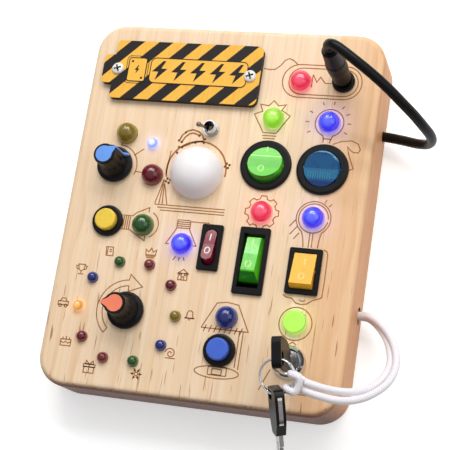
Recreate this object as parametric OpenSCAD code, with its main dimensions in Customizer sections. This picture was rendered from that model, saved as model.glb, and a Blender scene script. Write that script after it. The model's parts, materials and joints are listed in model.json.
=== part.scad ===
// Wooden busy board: a pine block that carries real switches, knobs, buttons,
// a key lock, a power socket and lamps, with its works in a pocket behind.
// It lies on its back: +Z comes out of its face, +Y is its top, +X its right.

/* [Board] */
// Width of the wooden board
board_w = 142; // [138:1:170]
// Height of the wooden board
board_h = 178; // [174:1:200]
// Thickness of the wooden board
board_t = 26; // [26:0.5:34]
// Radius of the board's four corners, seen from the front
corner_r = 14; // [10:0.5:20]
// Rounding of the edge between face and sides
edge_r = 3; // [1:0.5:5]
// Wood left in front of the pocket
face_wall = 6; // [5:0.5:7]
// Wood left round the pocket
rim = 10; // [9:0.5:12]
// Thickness of the back panel
panel_t = 3; // [2.5:0.5:4]
// Width of the ledge that the back panel is screwed to
ledge = 5; // [4:0.5:6]

/* [Sign plate] */
// Width of the striped plate, without its tab
sign_w = 73; // [60:1:74]
// Height of the striped plate
sign_h = 29.5; // [24:0.5:32]
// Thickness of the striped plate
sign_t = 3; // [2:0.5:4]
// Length of the tab on its left side
sign_tab = 5.5; // [3:0.5:6]

/* [Knobs] */
// Diameter of a knob's skirt
knob_d = 17.2; // [15:0.2:18]
// Height of a knob over the face
knob_h = 17.5; // [15:0.5:20]
// Diameter of a knob's neck
knob_neck_d = 10.2; // [9:0.2:11]
// Diameter of a knob's shaft
shaft_d = 6; // [5:0.5:6]
// Swing of the blue knob to each side
blue_knob_swing = 45; // [30:5:60]

/* [Rocker switches] */
// Tilt of a pressed rocker from level
rocker_tilt = 16; // [10:1:17]
// Width of the bezel of the yellow switch
yellow_w = 15; // [14.5:0.5:16]
// Length of the bezel of the yellow switch
yellow_l = 21; // [20.5:0.5:22]
// Width of the bezel of the tall green switch
tall_w = 14; // [13.5:0.5:15]
// Length of the bezel of the tall green switch
tall_l = 31; // [30:0.5:32]
// Width of the bezel of the narrow red switch
mini_w = 10; // [9.5:0.5:11]
// Length of the bezel of the narrow red switch
mini_l = 21.5; // [21:0.5:22.5]
// Diameter of the bezel of a round switch
round_d = 24; // [22.5:0.5:24.5]
// Height of a bezel over the face
bezel_h = 1.8; // [1.5:0.1:2.5]

/* [Lamps] */
// Diameter of a large lamp
lamp_d = 10; // [9:0.5:10.5]
// Diameter of a small lamp
small_lamp_d = 5; // [4.5:0.5:5.5]
// Number of small lamps in the ring
ring_count = 10; // [8:1:10]
// Radius of the ring of small lamps
ring_r = 23.6; // [21:0.2:24]
// Diameter of the white dome light
dome_d = 25.2; // [22:0.2:26]

/* [Push buttons] */
// Diameter of a push button's ring
button_ring_d = 14.8; // [14:0.2:16]
// Diameter of a push button's cap
button_cap_d = 10.1; // [9:0.1:10.1]
// Travel of a push button
button_travel = 2.5; // [1.5:0.5:3]

/* [Toggle] */
// Lean of the toggle lever to each side
toggle_tilt = 18; // [8:1:18]

/* [Key lock] */
// Diameter of the lock's bezel
lock_bezel_d = 15; // [14:0.5:17]
// Diameter of the lock's barrel
lock_barrel_d = 12; // [11.5:0.5:12.5]
// Diameter of the part that turns with the key
rotor_d = 8.4; // [8.2:0.1:8.8]
// Width of a key's head
key_head_w = 13.8; // [12:0.2:16]
// Length of a key's head
key_head_l = 20.5; // [18:0.5:22]
// Thickness of a key's head
key_head_t = 4.2; // [4:0.2:5]
// Width of a key's blade
key_blade_w = 7; // [6:0.2:7]
// Thickness of a key's blade
key_blade_t = 1.8; // [1.4:0.1:2]
// Outer diameter of the split ring
split_ring_d = 16; // [15:0.2:17]
// Diameter of the split ring's wire
ring_wire_d = 1; // [0.8:0.1:1.2]

/* [Power lead] */
// Diameter of the lead
lead_d = 4.6; // [3:0.2:5]
// Diameter of the plug's sleeve
plug_sleeve_d = 5.5; // [5:0.1:5.6]
// Length of the plug's sleeve
plug_sleeve_l = 9.5; // [8:0.5:10]
// Diameter of the plug's grip
plug_grip_d = 9.6; // [8.5:0.2:10.5]

/* [Lanyard] */
// Diameter of one strand of the white cord
lanyard_d = 3.4; // [2.6:0.2:3.6]

/* [Hidden] */
$fn = 48;

// ---- clearances ----
slip = 0.1;          // between a fixed piece and the hole it sits in
pin_gap = 0.05;      // between a pin and its bore
free_gap = 0.35;     // between moving pieces
eps = 0.5;           // how far a cutter runs past what it cuts

// ---- places on the face, from the board's centre ----
blue_knob_at = [-50, 17];
orange_knob_at = [-32, -51.7];
toggle_at = [-6.2, 38];
dome_at = [-9.6, 16.1];
yellow_at = [47.3, -25.6];
tall_at = [22.8, -23.1];
mini_at = [2.7, -18.7];
round_green_at = [22.6, 22.2];
round_blue_at = [49.1, 22.2];
yellow_button_at = [-48.8, -10.4];
blue_button_at = [14.5, -64.8];
jack_at = [53.1, 65];
lock_at = [46.6, -66.4];
lock_lamp_at = [46.6, -48.6];
sign_left = -59;
sign_mid_y = 64.6;
olive_at = [-47, 33];
dark_red_at = [-30.9, 13.5];
dark_green_at = [-31.2, -10.9];
navy_at = [15.5, -49.8];
blue_lamps_at = [[-10.9, -18.3], [49.2, 44.7], [48.1, -0.8]];
pink_lamps_at = [[33.2, 63.9], [24, 0]];
green_lamp_at = [23, 44.9];
white_lamp_at = [-33.5, 29];
ring_first = 108;    // direction of the first lamp of the ring
amber_slot = 8;      // the lamp of the ring that is lit

// ---- derived heights ----
face_z = board_t;
wall_z = board_t - face_wall;
toggle_turn = 210;   // direction in which the toggle leans
plug_lean = 6;       // lean of the plug in its jack
plug_lean_turn = 120;
key_turn = 9;        // how far the key stands turned from the board's height
lead_hole_at = [46.3, 7];
lanyard_hole_at = [-39.4, 8.2];
lanyard_hole_d = 8;

// ================= outlines =================

// the arc that rounds the corner b between a and c
function fillet(a, b, c, r, n) = let(
    u = (a - b) / norm(a - b),
    v = (c - b) / norm(c - b),
    half = acos(u * v) / 2,
    centre = b + (u + v) / norm(u + v) * r / sin(half),
    p = b + u * r / tan(half) - centre,
    q = b + v * r / tan(half) - centre,
    from = atan2(p[1], p[0]),
    raw = atan2(q[1], q[0]) - from,
    turn = raw > 180 ? raw - 360 : raw < -180 ? raw + 360 : raw)
    [for (i = [0:n]) centre + r * [cos(from + turn * i / n), sin(from + turn * i / n)]];

// the outline pts with every corner rounded by its own radius
function rounded(pts, radii, n = 5) = let(m = len(pts))
    [for (i = [0:m - 1])
        each fillet(pts[(i + m - 1) % m], pts[i], pts[(i + 1) % m], radii[i], n)];

module round_rect(w, h, r) {
    square([w - 2 * r, h], center = true);
    square([w, h - 2 * r], center = true);
    for (x = [-1, 1], y = [-1, 1])
        translate([x * (w / 2 - r), y * (h / 2 - r)]) circle(r);
}

module slab(w, h, r, z0, z1) {
    translate([0, 0, z0]) linear_extrude(z1 - z0) round_rect(w, h, r);
}

module on_face(p) {
    translate([p[0], p[1], face_z]) children();
}

module ring(r_out, r_in, z0, z1) {
    translate([0, 0, z0]) difference() {
        cylinder(r = r_out, h = z1 - z0);
        translate([0, 0, -eps]) cylinder(r = r_in, h = z1 - z0 + 2 * eps);
    }
}

module hex_nut(flats, r_in, z0, z1) {
    translate([0, 0, z0]) difference() {
        cylinder(r = flats / sqrt(3), h = z1 - z0, $fn = 6);
        translate([0, 0, -eps]) cylinder(r = r_in, h = z1 - z0 + 2 * eps);
    }
}

// ================= the wooden board =================

// half of the board's cross-section, from x = 0 to x = reach, its outer top edge rounded
module edge_profile(reach) {
    polygon(concat([[0, 0]], fillet([0, 0], [reach, 0], [reach, board_t], 0.6, 4),
        fillet([reach, 0], [reach, board_t], [0, board_t], edge_r, 8), [[0, board_t]]));
}

module board_blank() {
    in_x = board_w / 2 - corner_r;
    in_y = board_h / 2 - corner_r;
    translate([-in_x, -in_y, 0]) cube([2 * in_x, 2 * in_y, board_t]);
    for (s = [0, 180]) rotate(s) {
        translate([in_x, in_y, 0]) rotate([90, 0, 0])
            linear_extrude(2 * in_y) edge_profile(corner_r);
        translate([-in_x, in_y, 0]) rotate([90, 0, 90])
            linear_extrude(2 * in_x) edge_profile(corner_r);
        translate([in_x, in_y, 0]) rotate_extrude(angle = 90) edge_profile(corner_r);
        translate([in_x, -in_y, 0]) rotate(-90)
            rotate_extrude(angle = 90) edge_profile(corner_r);
    }
}

pocket_w = board_w - 2 * rim;
pocket_h = board_h - 2 * rim;
panel_w = pocket_w + 2 * ledge;
panel_h = pocket_h + 2 * ledge;
pocket_r = 6;
panel_r = 9;

// hole through the front wall
module drill(p, d) {
    translate([p[0], p[1], wall_z - eps]) cylinder(d = d, h = face_wall + 2 * eps);
}

module slot_hole(p, w, h) {
    translate([p[0] - w / 2, p[1] - h / 2, wall_z - eps]) cube([w, h, face_wall + 2 * eps]);
}

function ring_lamp_at(i) = orange_knob_at + ring_r * [cos(ring_first - i * 360 / ring_count),
    sin(ring_first - i * 360 / ring_count)];
ring_lamps = [for (i = [0:ring_count - 1]) i];
large_lamps = concat([olive_at, dark_red_at, dark_green_at, navy_at, green_lamp_at],
    blue_lamps_at, pink_lamps_at);
small_lamps = concat([white_lamp_at], [for (i = ring_lamps) ring_lamp_at(i)]);
small_pocket = 2;    // how much the wall is thinned behind a small lamp
lamp_flange = 0.8;   // how far a lamp's flange stands out

screw_inset = 3;
back_screws_at = [for (x = [-1, 1], y = [-1, -0.34, 0.34, 1])
    [x * (panel_w / 2 - screw_inset), y * (panel_h / 2 - panel_r)]];
screw_d = 2.4;
screw_l = 10;

module board() {
    color("burlywood") difference() {
        board_blank();
        slab(panel_w, panel_h, panel_r, -eps, panel_t);
        slab(pocket_w, pocket_h, pocket_r, panel_t - eps, wall_z);
        for (p = large_lamps) drill(p, lamp_d + 2 * slip);
        for (p = small_lamps) {
            drill(p, small_lamp_d + 2 * slip);
            translate([p[0], p[1], wall_z - eps])
                cylinder(d = small_lamp_d + 2 * lamp_flange + 2 * slip, h = small_pocket + eps);
        }
        drill(lock_lamp_at, flat_lamp_d + 2 * slip);
        drill(blue_knob_at, bushing_d + 2 * slip);
        drill(orange_knob_at, bushing_d + 2 * slip);
        drill(toggle_at, toggle_bush_d + 2 * slip);
        drill(dome_at, dome_neck_d + 2 * slip);
        drill(yellow_button_at, button_barrel_d + 2 * slip);
        drill(blue_button_at, button_barrel_d + 2 * slip);
        drill(jack_at, jack_barrel_d + 2 * slip);
        drill(lock_at, lock_barrel_d + 2 * slip);
        drill(round_green_at, round_body_d + 2 * slip);
        drill(round_blue_at, round_body_d + 2 * slip);
        slot_hole(yellow_at, yellow_w - body_in + 2 * slip, yellow_l - body_in + 2 * slip);
        slot_hole(tall_at, tall_w - body_in + 2 * slip, tall_l - body_in + 2 * slip);
        slot_hole(mini_at, mini_w - body_in + 2 * slip, mini_l - body_in + 2 * slip);
        translate([board_w / 2 - rim - eps, lead_hole_at[0], lead_hole_at[1]])
            rotate([0, 90, 0]) cylinder(d = lead_d + 2 * free_gap, h = rim + 2 * eps);
        translate([board_w / 2 - rim - eps, lanyard_hole_at[0], lanyard_hole_at[1]])
            rotate([0, 90, 0]) cylinder(d = lanyard_hole_d, h = rim + 2 * eps);
        for (p = back_screws_at) translate([p[0], p[1], panel_t - eps])
            cylinder(d = screw_d, h = screw_l - panel_t + eps);
        for (p = sign_screws_at) translate([p[0], p[1], face_z - sign_screw_l])
            cylinder(d = screw_d, h = sign_screw_l + eps);
    }
}

// ================= back panel and battery box =================

cell_d = 10.5;
cell_l = 44.5;
cell_nub = 0.8;
cell_pitch = 10.8;
cell_count = 3;
spring_room = 5.5;
contact_t = 0.5;
box_wall = 1.2;
cavity_w = cell_l + cell_nub + spring_room + 2 * contact_t;
cavity_h = cell_count * cell_pitch + 0.4;
box_at = [-28, pocket_h / 2 - cavity_h / 2 - box_wall - 0.5];
box_top = panel_t + cell_d + 1.8 + box_wall;
door_lip = 2;
door_t = panel_t - 1;

module countersink(p, z, r_head, depth) {
    translate([p[0], p[1], z]) rotate_extrude() polygon(
        [[0, -eps], [r_head, -eps], [r_head, 0], [screw_d / 2, depth], [0, depth]]);
}

module back_panel() {
    color("tan") difference() {
        slab(panel_w - 2 * slip, panel_h - 2 * slip, panel_r - slip, 0, panel_t);
        translate([box_at[0], box_at[1], 0]) {
            slab(cavity_w + 2 * door_lip, cavity_h + 2 * door_lip, 2, -eps, door_t);
            slab(cavity_w, cavity_h, 1, -eps, panel_t + eps);
            door_ear(0, -eps);
        }
        for (p = back_screws_at) {
            translate([p[0], p[1], -eps]) cylinder(d = screw_d + 2 * slip, h = panel_t + 2 * eps);
            countersink(p, 0, screw_d, 1.4);
        }
        translate([box_at[0], box_at[1] + door_screw_y, -eps])
            cylinder(d = screw_d + 2 * slip, h = panel_t + 2 * eps);
    }
}

ear_w = 9;
ear_l = 7;
boss_d = 7;
door_screw_y = -cavity_h / 2 - door_lip - 2.2;   // from the box's middle

// the ear that the door is screwed down by
module door_ear(gap, z0) {
    translate([0, door_screw_y, 0]) slab(ear_w - 2 * gap, ear_l - 2 * gap, 2 - gap, z0, door_t);
}

// countersunk screw that starts at z = 0 and points up
module flat_head_screw(length) {
    rotate_extrude() polygon([[0, 0], [screw_d - slip, 0], [screw_d / 2 - slip / 2, 1.3],
        [screw_d / 2 - slip / 2, length - 2], [0, length]]);
}

module back_screws() {
    color("silver") {
        for (p = back_screws_at) translate([p[0], p[1], 0.05]) difference() {
            flat_head_screw(screw_l - 0.5);
            cross_recess();
        }
        translate([box_at[0], box_at[1] + door_screw_y, 0.05]) difference() {
            flat_head_screw(screw_l - 0.5);
            cross_recess();
        }
    }
}

module cross_recess() {
    for (a = [0, 90]) rotate(a) translate([-1.2, -0.25, -eps]) cube([2.4, 0.5, eps + 0.6]);
}

module battery_door() {
    color("tan") translate([box_at[0], box_at[1], 0]) difference() {
        union() {
            slab(cavity_w + 2 * door_lip - 2 * slip, cavity_h + 2 * door_lip - 2 * slip,
                2 - slip, 0, door_t);
            door_ear(slip, 0);
        }
        translate([0, door_screw_y, -eps]) cylinder(d = screw_d + 2 * slip, h = door_t + 2 * eps);
        countersink([0, door_screw_y], 0, screw_d, 1.4);
        for (i = [-2:2]) translate([i * 3 - 0.5, cavity_h / 2 - 9, -eps])
            cube([1, 8, eps + 0.5]);
    }
}

module battery_box() {
    color("dimgray") translate([box_at[0], box_at[1], 0]) difference() {
        union() {
            slab(cavity_w + 2 * box_wall, cavity_h + 2 * box_wall, 1.5, panel_t, box_top);
            translate([0, door_screw_y, panel_t]) cylinder(d = boss_d, h = screw_l - panel_t + 1);
        }
        slab(cavity_w, cavity_h, 0.5, panel_t - eps, box_top - box_wall);
        translate([0, door_screw_y, panel_t - eps]) cylinder(d = screw_d, h = screw_l - panel_t + eps);
    }
}

function cell_y(i) = (i - (cell_count - 1) / 2) * cell_pitch;
cell_z = box_top - box_wall - cell_d / 2 - 0.2;

module battery_cells() {
    color("seagreen") translate([box_at[0], box_at[1], cell_z]) for (i = [0:cell_count - 1])
        translate([0, cell_y(i), 0]) rotate([0, i % 2 == 0 ? 90 : -90, 0])
            translate([0, 0, -cavity_w / 2 + contact_t + spring_room]) {
                cylinder(d = cell_d, h = cell_l);
                cylinder(d = 3.8, h = cell_l + cell_nub);
            }
}

contact_w = 8;

module battery_contacts() {
    color("silver") translate([box_at[0], box_at[1], cell_z]) for (i = [0:cell_count - 1])
        translate([0, cell_y(i), 0]) rotate([0, i % 2 == 0 ? 90 : -90, 0]) {
            translate([-contact_w / 2, -contact_w / 2, cavity_w / 2 - contact_t])
                cube([contact_w, contact_w, contact_t]);
            translate([0, 0, -cavity_w / 2]) rotate_extrude() polygon([[0, 0], [contact_w / 2, 0],
                [contact_w / 2, contact_t], [contact_w / 2 - 0.4, contact_t],
                [contact_w / 4, contact_t + spring_room], [0, contact_t + spring_room]]);
        }
}

pcb_at = [-14, 8];
pcb_w = 44;
pcb_h = 28;
pcb_t = 1.6;

module circuit_board() {
    color("darkgreen") translate([pcb_at[0], pcb_at[1], panel_t]) {
        translate([-pcb_w / 2, -pcb_h / 2, 0]) cube([pcb_w, pcb_h, pcb_t]);
        translate([-14, -4, pcb_t - eps]) cube([9, 6, 1.6 + eps]);
        for (i = [0:5]) translate([-18 + i * 4, 8, pcb_t - eps]) cube([2, 1.2, 0.6 + eps]);
        for (i = [0:1]) translate([8 + i * 6, -9, pcb_t - eps]) cylinder(d = 4, h = 5 + eps);
        translate([dome_at[0] - pcb_at[0] - 2.5, dome_at[1] - pcb_at[1] - 2.5, pcb_t - eps])
            cube([5, 5, 1.6 + eps]);
    }
}

// ================= sign plate =================

sign_screw_l = 5;
sign_edge = 4.8;     // from the plate's right end to the screw
sign_head_r = 2.9;
sign_screws_at = [[sign_left + 2.2, sign_mid_y], [sign_left + sign_w - sign_edge, sign_mid_y - 0.4]];
tab_half = 7.2;

module sign_outline() {
    right = sign_left + sign_w;
    half = sign_h / 2;
    polygon(rounded([[sign_left, sign_mid_y - half], [right, sign_mid_y - half],
        [right, sign_mid_y + half], [sign_left, sign_mid_y + half],
        [sign_left, sign_mid_y + tab_half], [sign_left - sign_tab, sign_mid_y + tab_half],
        [sign_left - sign_tab, sign_mid_y - tab_half], [sign_left, sign_mid_y - tab_half]],
        [1.5, 3, 3, 1.5, 0.8, 2, 2, 0.8]));
}

module sign_plate() {
    color("goldenrod") difference() {
        translate([0, 0, face_z]) linear_extrude(sign_t) sign_outline();
        for (p = sign_screws_at) translate([p[0], p[1], face_z - eps])
            cylinder(d = screw_d + 2 * slip, h = sign_t + 2 * eps);
    }
}

module sign_screws() {
    color("white") for (p = sign_screws_at) translate([p[0], p[1], face_z + sign_t])
        difference() {
            rotate_extrude() polygon(concat(
                [for (a = [0:15:90]) [sign_head_r * cos(a), 0.4 + 1.3 * sin(a)]],
                [[0, 0.4 + 1.3], [0, 1 - sign_t - sign_screw_l],
                [screw_d / 2 - slip / 2, 3 - sign_t - sign_screw_l],
                [screw_d / 2 - slip / 2, 0], [sign_head_r, 0]]));
            for (a = [0, 90]) rotate(a + 20) translate([-1.9, -0.5, 0.9]) cube([3.8, 1, 1]);
        }
}

// ================= knobs =================

bushing_d = 8;
bushing_h = 3.6;
switch_body_d = 16;
switch_body_h = 9;
nut_t = 1.5;
nut_flats = 10;
knob_lift = 0.8;     // gap between a knob and the face
cap_t = 1.4;
flute_from = 8;
tip_r = knob_d / 2 - 2.1;

module knob_cap() {
    // teardrop on top, its point running down the flank as a thin rib
    tear = 3.9;
    translate([0, 0, knob_h - cap_t]) linear_extrude(cap_t) {
        circle(tear);
        polygon([[0, tear], [tip_r, 0.35], [tip_r, -0.35], [0, -tear]]);
    }
    translate([0, 0.6, 0]) rotate([90, 0, 0]) linear_extrude(1.2) polygon([
        [tip_r - 1.2, knob_h - 0.4], [tip_r, knob_h - 0.4], [tip_r + 0.3, 7],
        [knob_d / 2 - 0.2, knob_lift + 2.2], [knob_d / 2 - 1.4, knob_lift + 2.2],
        [tip_r - 1, 7]]);
}

module knob() {
    neck = knob_neck_d / 2;
    skirt = knob_d / 2;
    difference() {
        union() {
            rotate_extrude() difference() {
                polygon(concat([[0, knob_lift], [skirt - 0.3, knob_lift], [skirt, knob_lift + 0.3],
                    [skirt, knob_lift + 1.6]],
                    [for (a = [15:15:90]) [skirt - (skirt - neck) * sin(a),
                        knob_lift + 1.6 + 6 * (1 - cos(a))]],
                    [[neck, knob_h - 0.6], [neck - 0.4, knob_h], [0, knob_h]]));
                square([nut_flats / sqrt(3) + free_gap, nut_t + free_gap]);
                square([bushing_d / 2 + 0.25, bushing_h + free_gap]);
                square([shaft_d / 2 + 0.02, knob_h - 3]);
            }
            // the beak that carries the point
            translate([0, 0, knob_lift + 5]) linear_extrude(knob_h - 0.5 - knob_lift - 5)
                polygon([[3.4, 3.4], [tip_r - 0.2, 0.9], [tip_r - 0.2, -0.9], [3.4, -3.4]]);
        }
        knob_cap();
        for (i = [1:11]) rotate(i * 30) translate([neck + 0.4, 0, flute_from])
            cylinder(r = 0.6, h = knob_h - flute_from - 2 * cap_t, $fn = 16);
    }
}

module knob_shaft() {
    translate([0, 0, -face_wall - 4]) cylinder(d = shaft_d, h = face_wall + 4 + knob_h - 3.5);
    translate([0, 0, -face_wall - 5]) cylinder(d = shaft_d + 3, h = 2);
}

module knob_switch() {
    difference() {
        union() {
            translate([0, 0, -face_wall - switch_body_h])
                cylinder(d = switch_body_d, h = switch_body_h);
            translate([0, 0, -face_wall - eps]) cylinder(d = bushing_d, h = face_wall + bushing_h + eps);
        }
        translate([0, 0, -face_wall - 2]) cylinder(d = shaft_d + 2 * pin_gap, h = 30);
        translate([0, 0, -face_wall - 5.4]) cylinder(d = shaft_d + 3.8, h = 2.8);
        translate([0, 0, -face_wall - 3]) cylinder(d = shaft_d + 2 * pin_gap, h = 4);
    }
}

blue_knob_turn = 37;   // rest direction of the blue knob's point
orange_knob_turn = 180;

module blue_knob() {
    color([0.16, 0.14, 0.16]) on_face(blue_knob_at) rotate(blue_knob_turn) knob();
}
module blue_knob_cap() {
    color("cornflowerblue") on_face(blue_knob_at) rotate(blue_knob_turn) knob_cap();
}
module blue_knob_shaft() {
    color("silver") on_face(blue_knob_at) knob_shaft();
}
module blue_knob_switch() {
    color("gray") on_face(blue_knob_at) knob_switch();
}
module orange_knob() {
    color([0.16, 0.14, 0.16]) on_face(orange_knob_at) rotate(orange_knob_turn) knob();
}
module orange_knob_cap() {
    color("salmon") on_face(orange_knob_at) rotate(orange_knob_turn) knob_cap();
}
module orange_knob_shaft() {
    color("silver") on_face(orange_knob_at) knob_shaft();
}
module orange_knob_switch() {
    color("gray") on_face(orange_knob_at) knob_switch();
}

// ================= toggle =================

toggle_bush_d = 6.2;
toggle_bush_h = 4.6;
toggle_pivot = 0.6;  // height of the lever's pivot over the face
toggle_bore_d = 5;
toggle_box = [10, 6.6, 8];

module toggle_body() {
    color("silver") on_face(toggle_at) rotate(toggle_turn) difference() {
        union() {
            translate([-toggle_box[0] / 2, -toggle_box[1] / 2, -face_wall - toggle_box[2]])
                cube(toggle_box);
            translate([0, 0, -face_wall - eps])
                cylinder(d = toggle_bush_d, h = face_wall + toggle_bush_h + eps - 0.4);
            translate([0, 0, toggle_bush_h - 0.41]) cylinder(d = toggle_bush_d - 0.6, h = 0.41);
        }
        translate([0, 0, toggle_pivot - 3]) cylinder(d = toggle_bore_d, h = 20);
    }
}

module toggle_lever() {
    color("silver") on_face(toggle_at) rotate(toggle_turn) translate([0, 0, toggle_pivot])
        rotate([0, toggle_tilt, 0]) rotate_extrude() polygon(concat(
            [[0, -1.8]], [for (a = [-60:20:40]) [2.1 * cos(a), 2.1 * sin(a)]],
            [[0.75, 2.4], [0.8, 9.4]],
            [for (a = [-45:15:90]) [1.2 * cos(a), 10.8 + 1.2 * sin(a)]]));
}

// ================= lamps =================

flat_lamp_d = 10.6;
flat_lamp_h = 3;
lamp_cyl = 1.2;      // straight part of a large lamp over the face
small_rise = 0.9;    // straight part of a small lamp over the face

module lamp(d, z_flange, rise) {
    rotate_extrude() polygon(concat(
        [[0, z_flange - 1], [d / 2 + lamp_flange, z_flange - 1], [d / 2 + lamp_flange, z_flange],
        [d / 2, z_flange]],
        [for (a = [0:9:90]) [d / 2 * cos(a), rise + d / 2 * sin(a)]]));
}

module large_lamp(p) {
    on_face(p) lamp(lamp_d, -face_wall, lamp_cyl);
}

module small_lamp(p) {
    on_face(p) lamp(small_lamp_d, -face_wall + small_pocket, small_rise);
}

module ring_set(slots) {
    for (i = slots) if (i < ring_count) small_lamp(ring_lamp_at(i));
}

module lamps_olive() {
    color("olive") {
        large_lamp(olive_at);
        ring_set([3]);
    }
}
module lamps_dark_green() {
    color("darkgreen") {
        large_lamp(dark_green_at);
        ring_set([0, 5]);
    }
}
module lamps_navy() {
    color("midnightblue") {
        large_lamp(navy_at);
        ring_set([4, 9]);
    }
}
module lamps_dark_red() {
    color("darkred") {
        large_lamp(dark_red_at);
        ring_set([1, 2, 6, 7]);
    }
}
module lamps_blue_lit() {
    color("blue") for (p = blue_lamps_at) large_lamp(p);
}
module lamps_pink_lit() {
    color("crimson") for (p = pink_lamps_at) large_lamp(p);
}
module lamps_green_lit() {
    color("lime") {
        large_lamp(green_lamp_at);
        on_face(lock_lamp_at) rotate_extrude() polygon([[0, -face_wall - 1],
            [flat_lamp_d / 2 + lamp_flange, -face_wall - 1],
            [flat_lamp_d / 2 + lamp_flange, -face_wall], [flat_lamp_d / 2, -face_wall],
            [flat_lamp_d / 2, flat_lamp_h - 0.5], [flat_lamp_d / 2 - 0.15, flat_lamp_h - 0.15],
            [flat_lamp_d / 2 - 0.5, flat_lamp_h], [0, flat_lamp_h]]);
    }
}
module lamp_amber_lit() {
    color("orange") ring_set([amber_slot]);
}
module lamp_white_lit() {
    color("azure") small_lamp(white_lamp_at);
}

dome_neck_d = 20;
dome_wall = 1.4;

module dome_light() {
    r = dome_d / 2;
    color("white") on_face(dome_at) rotate_extrude() polygon(concat(
        [for (a = [0:6:90]) [r * cos(a), r * sin(a) * 0.97]],
        [for (a = [90:-6:0]) [(r - dome_wall) * cos(a) * 0.8, (r - dome_wall) * sin(a) * 0.97]],
        [[dome_neck_d / 2 - dome_wall, -face_wall - 1], [dome_neck_d / 2, -face_wall - 1],
        [dome_neck_d / 2, 0]]));
}

// ================= rocker switches =================

body_in = 2;         // a body is this much smaller than its bezel
body_depth = 15;
frame_in = 2.1;      // width of a bezel's frame
crest = 20;          // angle of a rocker's crest over its pivot
round_body_d = 20;
trunnion_d = 1.2;
trunnion_l = 0.8;

// side view of a level rocker about its pivot: round ends, a top that dips in the middle
function rocker_profile(r, dip) = concat(
    [for (a = [-32:6.5:crest]) [r * cos(a), r * sin(a)]],
    [[r * cos(crest), r * sin(crest)], [0, r * sin(crest) - dip],
    [-r * cos(crest), r * sin(crest)]],
    [for (a = [-crest:6.5:32]) [-r * cos(a), -r * sin(a)]]);

// height of the pivot that leaves the pressed end just under the bezel's top
function pivot_z(r) = bezel_h - 0.3 - r * sin(crest - rocker_tilt);

module rocker_block(w, r, dip) {
    translate([w / 2, 0, 0]) rotate([0, -90, 0]) rotate([0, 0, -90]) mirror([1, 0, 0])
        linear_extrude(w) polygon(rocker_profile(r, dip));
}

module trunnions(w) {
    translate([-w / 2 - trunnion_l, 0, 0]) rotate([0, 90, 0])
        cylinder(d = trunnion_d, h = w + 2 * trunnion_l);
}

module tilted(p, r, up_end) {
    on_face(p) translate([0, 0, pivot_z(r)]) rotate([up_end * rocker_tilt, 0, 0]) children();
}

function half_l(l) = l / 2 - frame_in - free_gap;

// a bezel with a bevelled rim on the box that goes through the board
module bezel_and_box(w, l) {
    for (inset = [0, 0.3]) linear_extrude(bezel_h - 0.4 + inset / 0.3 * 0.4)
        polygon(rounded([[-w / 2 + inset, -l / 2 + inset], [w / 2 - inset, -l / 2 + inset],
            [w / 2 - inset, l / 2 - inset], [-w / 2 + inset, l / 2 - inset]],
            [0.8, 0.8, 0.8, 0.8], 4));
    translate([-w / 2 + body_in / 2, -l / 2 + body_in / 2, -body_depth])
        cube([w - body_in, l - body_in, body_depth + eps]);
}

module rect_body(w, l, round_ends) {
    r = half_l(l);
    open_w = w - 2 * frame_in;
    difference() {
        bezel_and_box(w, l);
        translate([0, 0, pivot_z(r)]) {
            intersection() {
                union() {
                    translate([-open_w / 2, -r - free_gap, 0])
                        cube([open_w, 2 * (r + free_gap), 10]);
                    rotate([0, 90, 0]) translate([0, 0, -open_w / 2])
                        cylinder(r = r + free_gap, h = open_w);
                }
                translate([0, 0, -20]) linear_extrude(40) {
                    if (round_ends) stadium(open_w / 2, r + free_gap);
                    else square([open_w + 1, 2 * (r + free_gap) + 1], center = true);
                }
            }
            rotate([0, 90, 0]) translate([0, 0, -open_w / 2 - trunnion_l - 0.1])
                cylinder(d = trunnion_d + 2 * pin_gap, h = open_w + 2 * trunnion_l + 0.2);
        }
    }
}

module stadium(half_w, half_len) {
    square([2 * half_w, 2 * (half_len - half_w)], center = true);
    for (s = [-1, 1]) translate([0, s * (half_len - half_w)]) circle(half_w);
}

module rect_rocker(w, l) {
    r = half_l(l);
    open_w = w - 2 * frame_in;
    rocker_block(open_w - 2 * free_gap, r, 0.12);
    trunnions(open_w);
}

module narrow_rocker() {
    r = half_l(mini_l);
    open_w = mini_w - 2 * frame_in;
    half = open_w / 2 - free_gap;
    intersection() {
        rocker_block(open_w, r, 0.1);
        translate([0, 0, -20]) linear_extrude(40) stadium(half, r - 0.6);
    }
    trunnions(open_w);
}

round_r = 8.4;       // radius of a round rocker about its pivot

module round_body() {
    difference() {
        union() {
            rotate_extrude() polygon([[0, 0], [round_d / 2, 0], [round_d / 2, bezel_h - 0.9],
                [round_d / 2 - 0.3, bezel_h - 0.3], [round_d / 2 - 1, bezel_h],
                [0, bezel_h]]);
            translate([0, 0, -body_depth]) cylinder(d = round_body_d, h = body_depth + eps);
        }
        translate([0, 0, pivot_z(round_r)]) {
            cylinder(r = round_r + free_gap, h = 20);
            sphere(r = round_r + free_gap);
            rotate([0, 90, 0]) translate([0, 0, -round_r - trunnion_l - 0.5])
                cylinder(d = trunnion_d + 2 * pin_gap, h = 2 * (round_r + trunnion_l + 0.5));
        }
    }
}

module round_rocker() {
    intersection() {
        sphere(r = round_r);
        rocker_block(3 * round_r, round_r * 1.02, 0.15);
    }
    trunnions(2 * round_r - 0.4);
}

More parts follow.
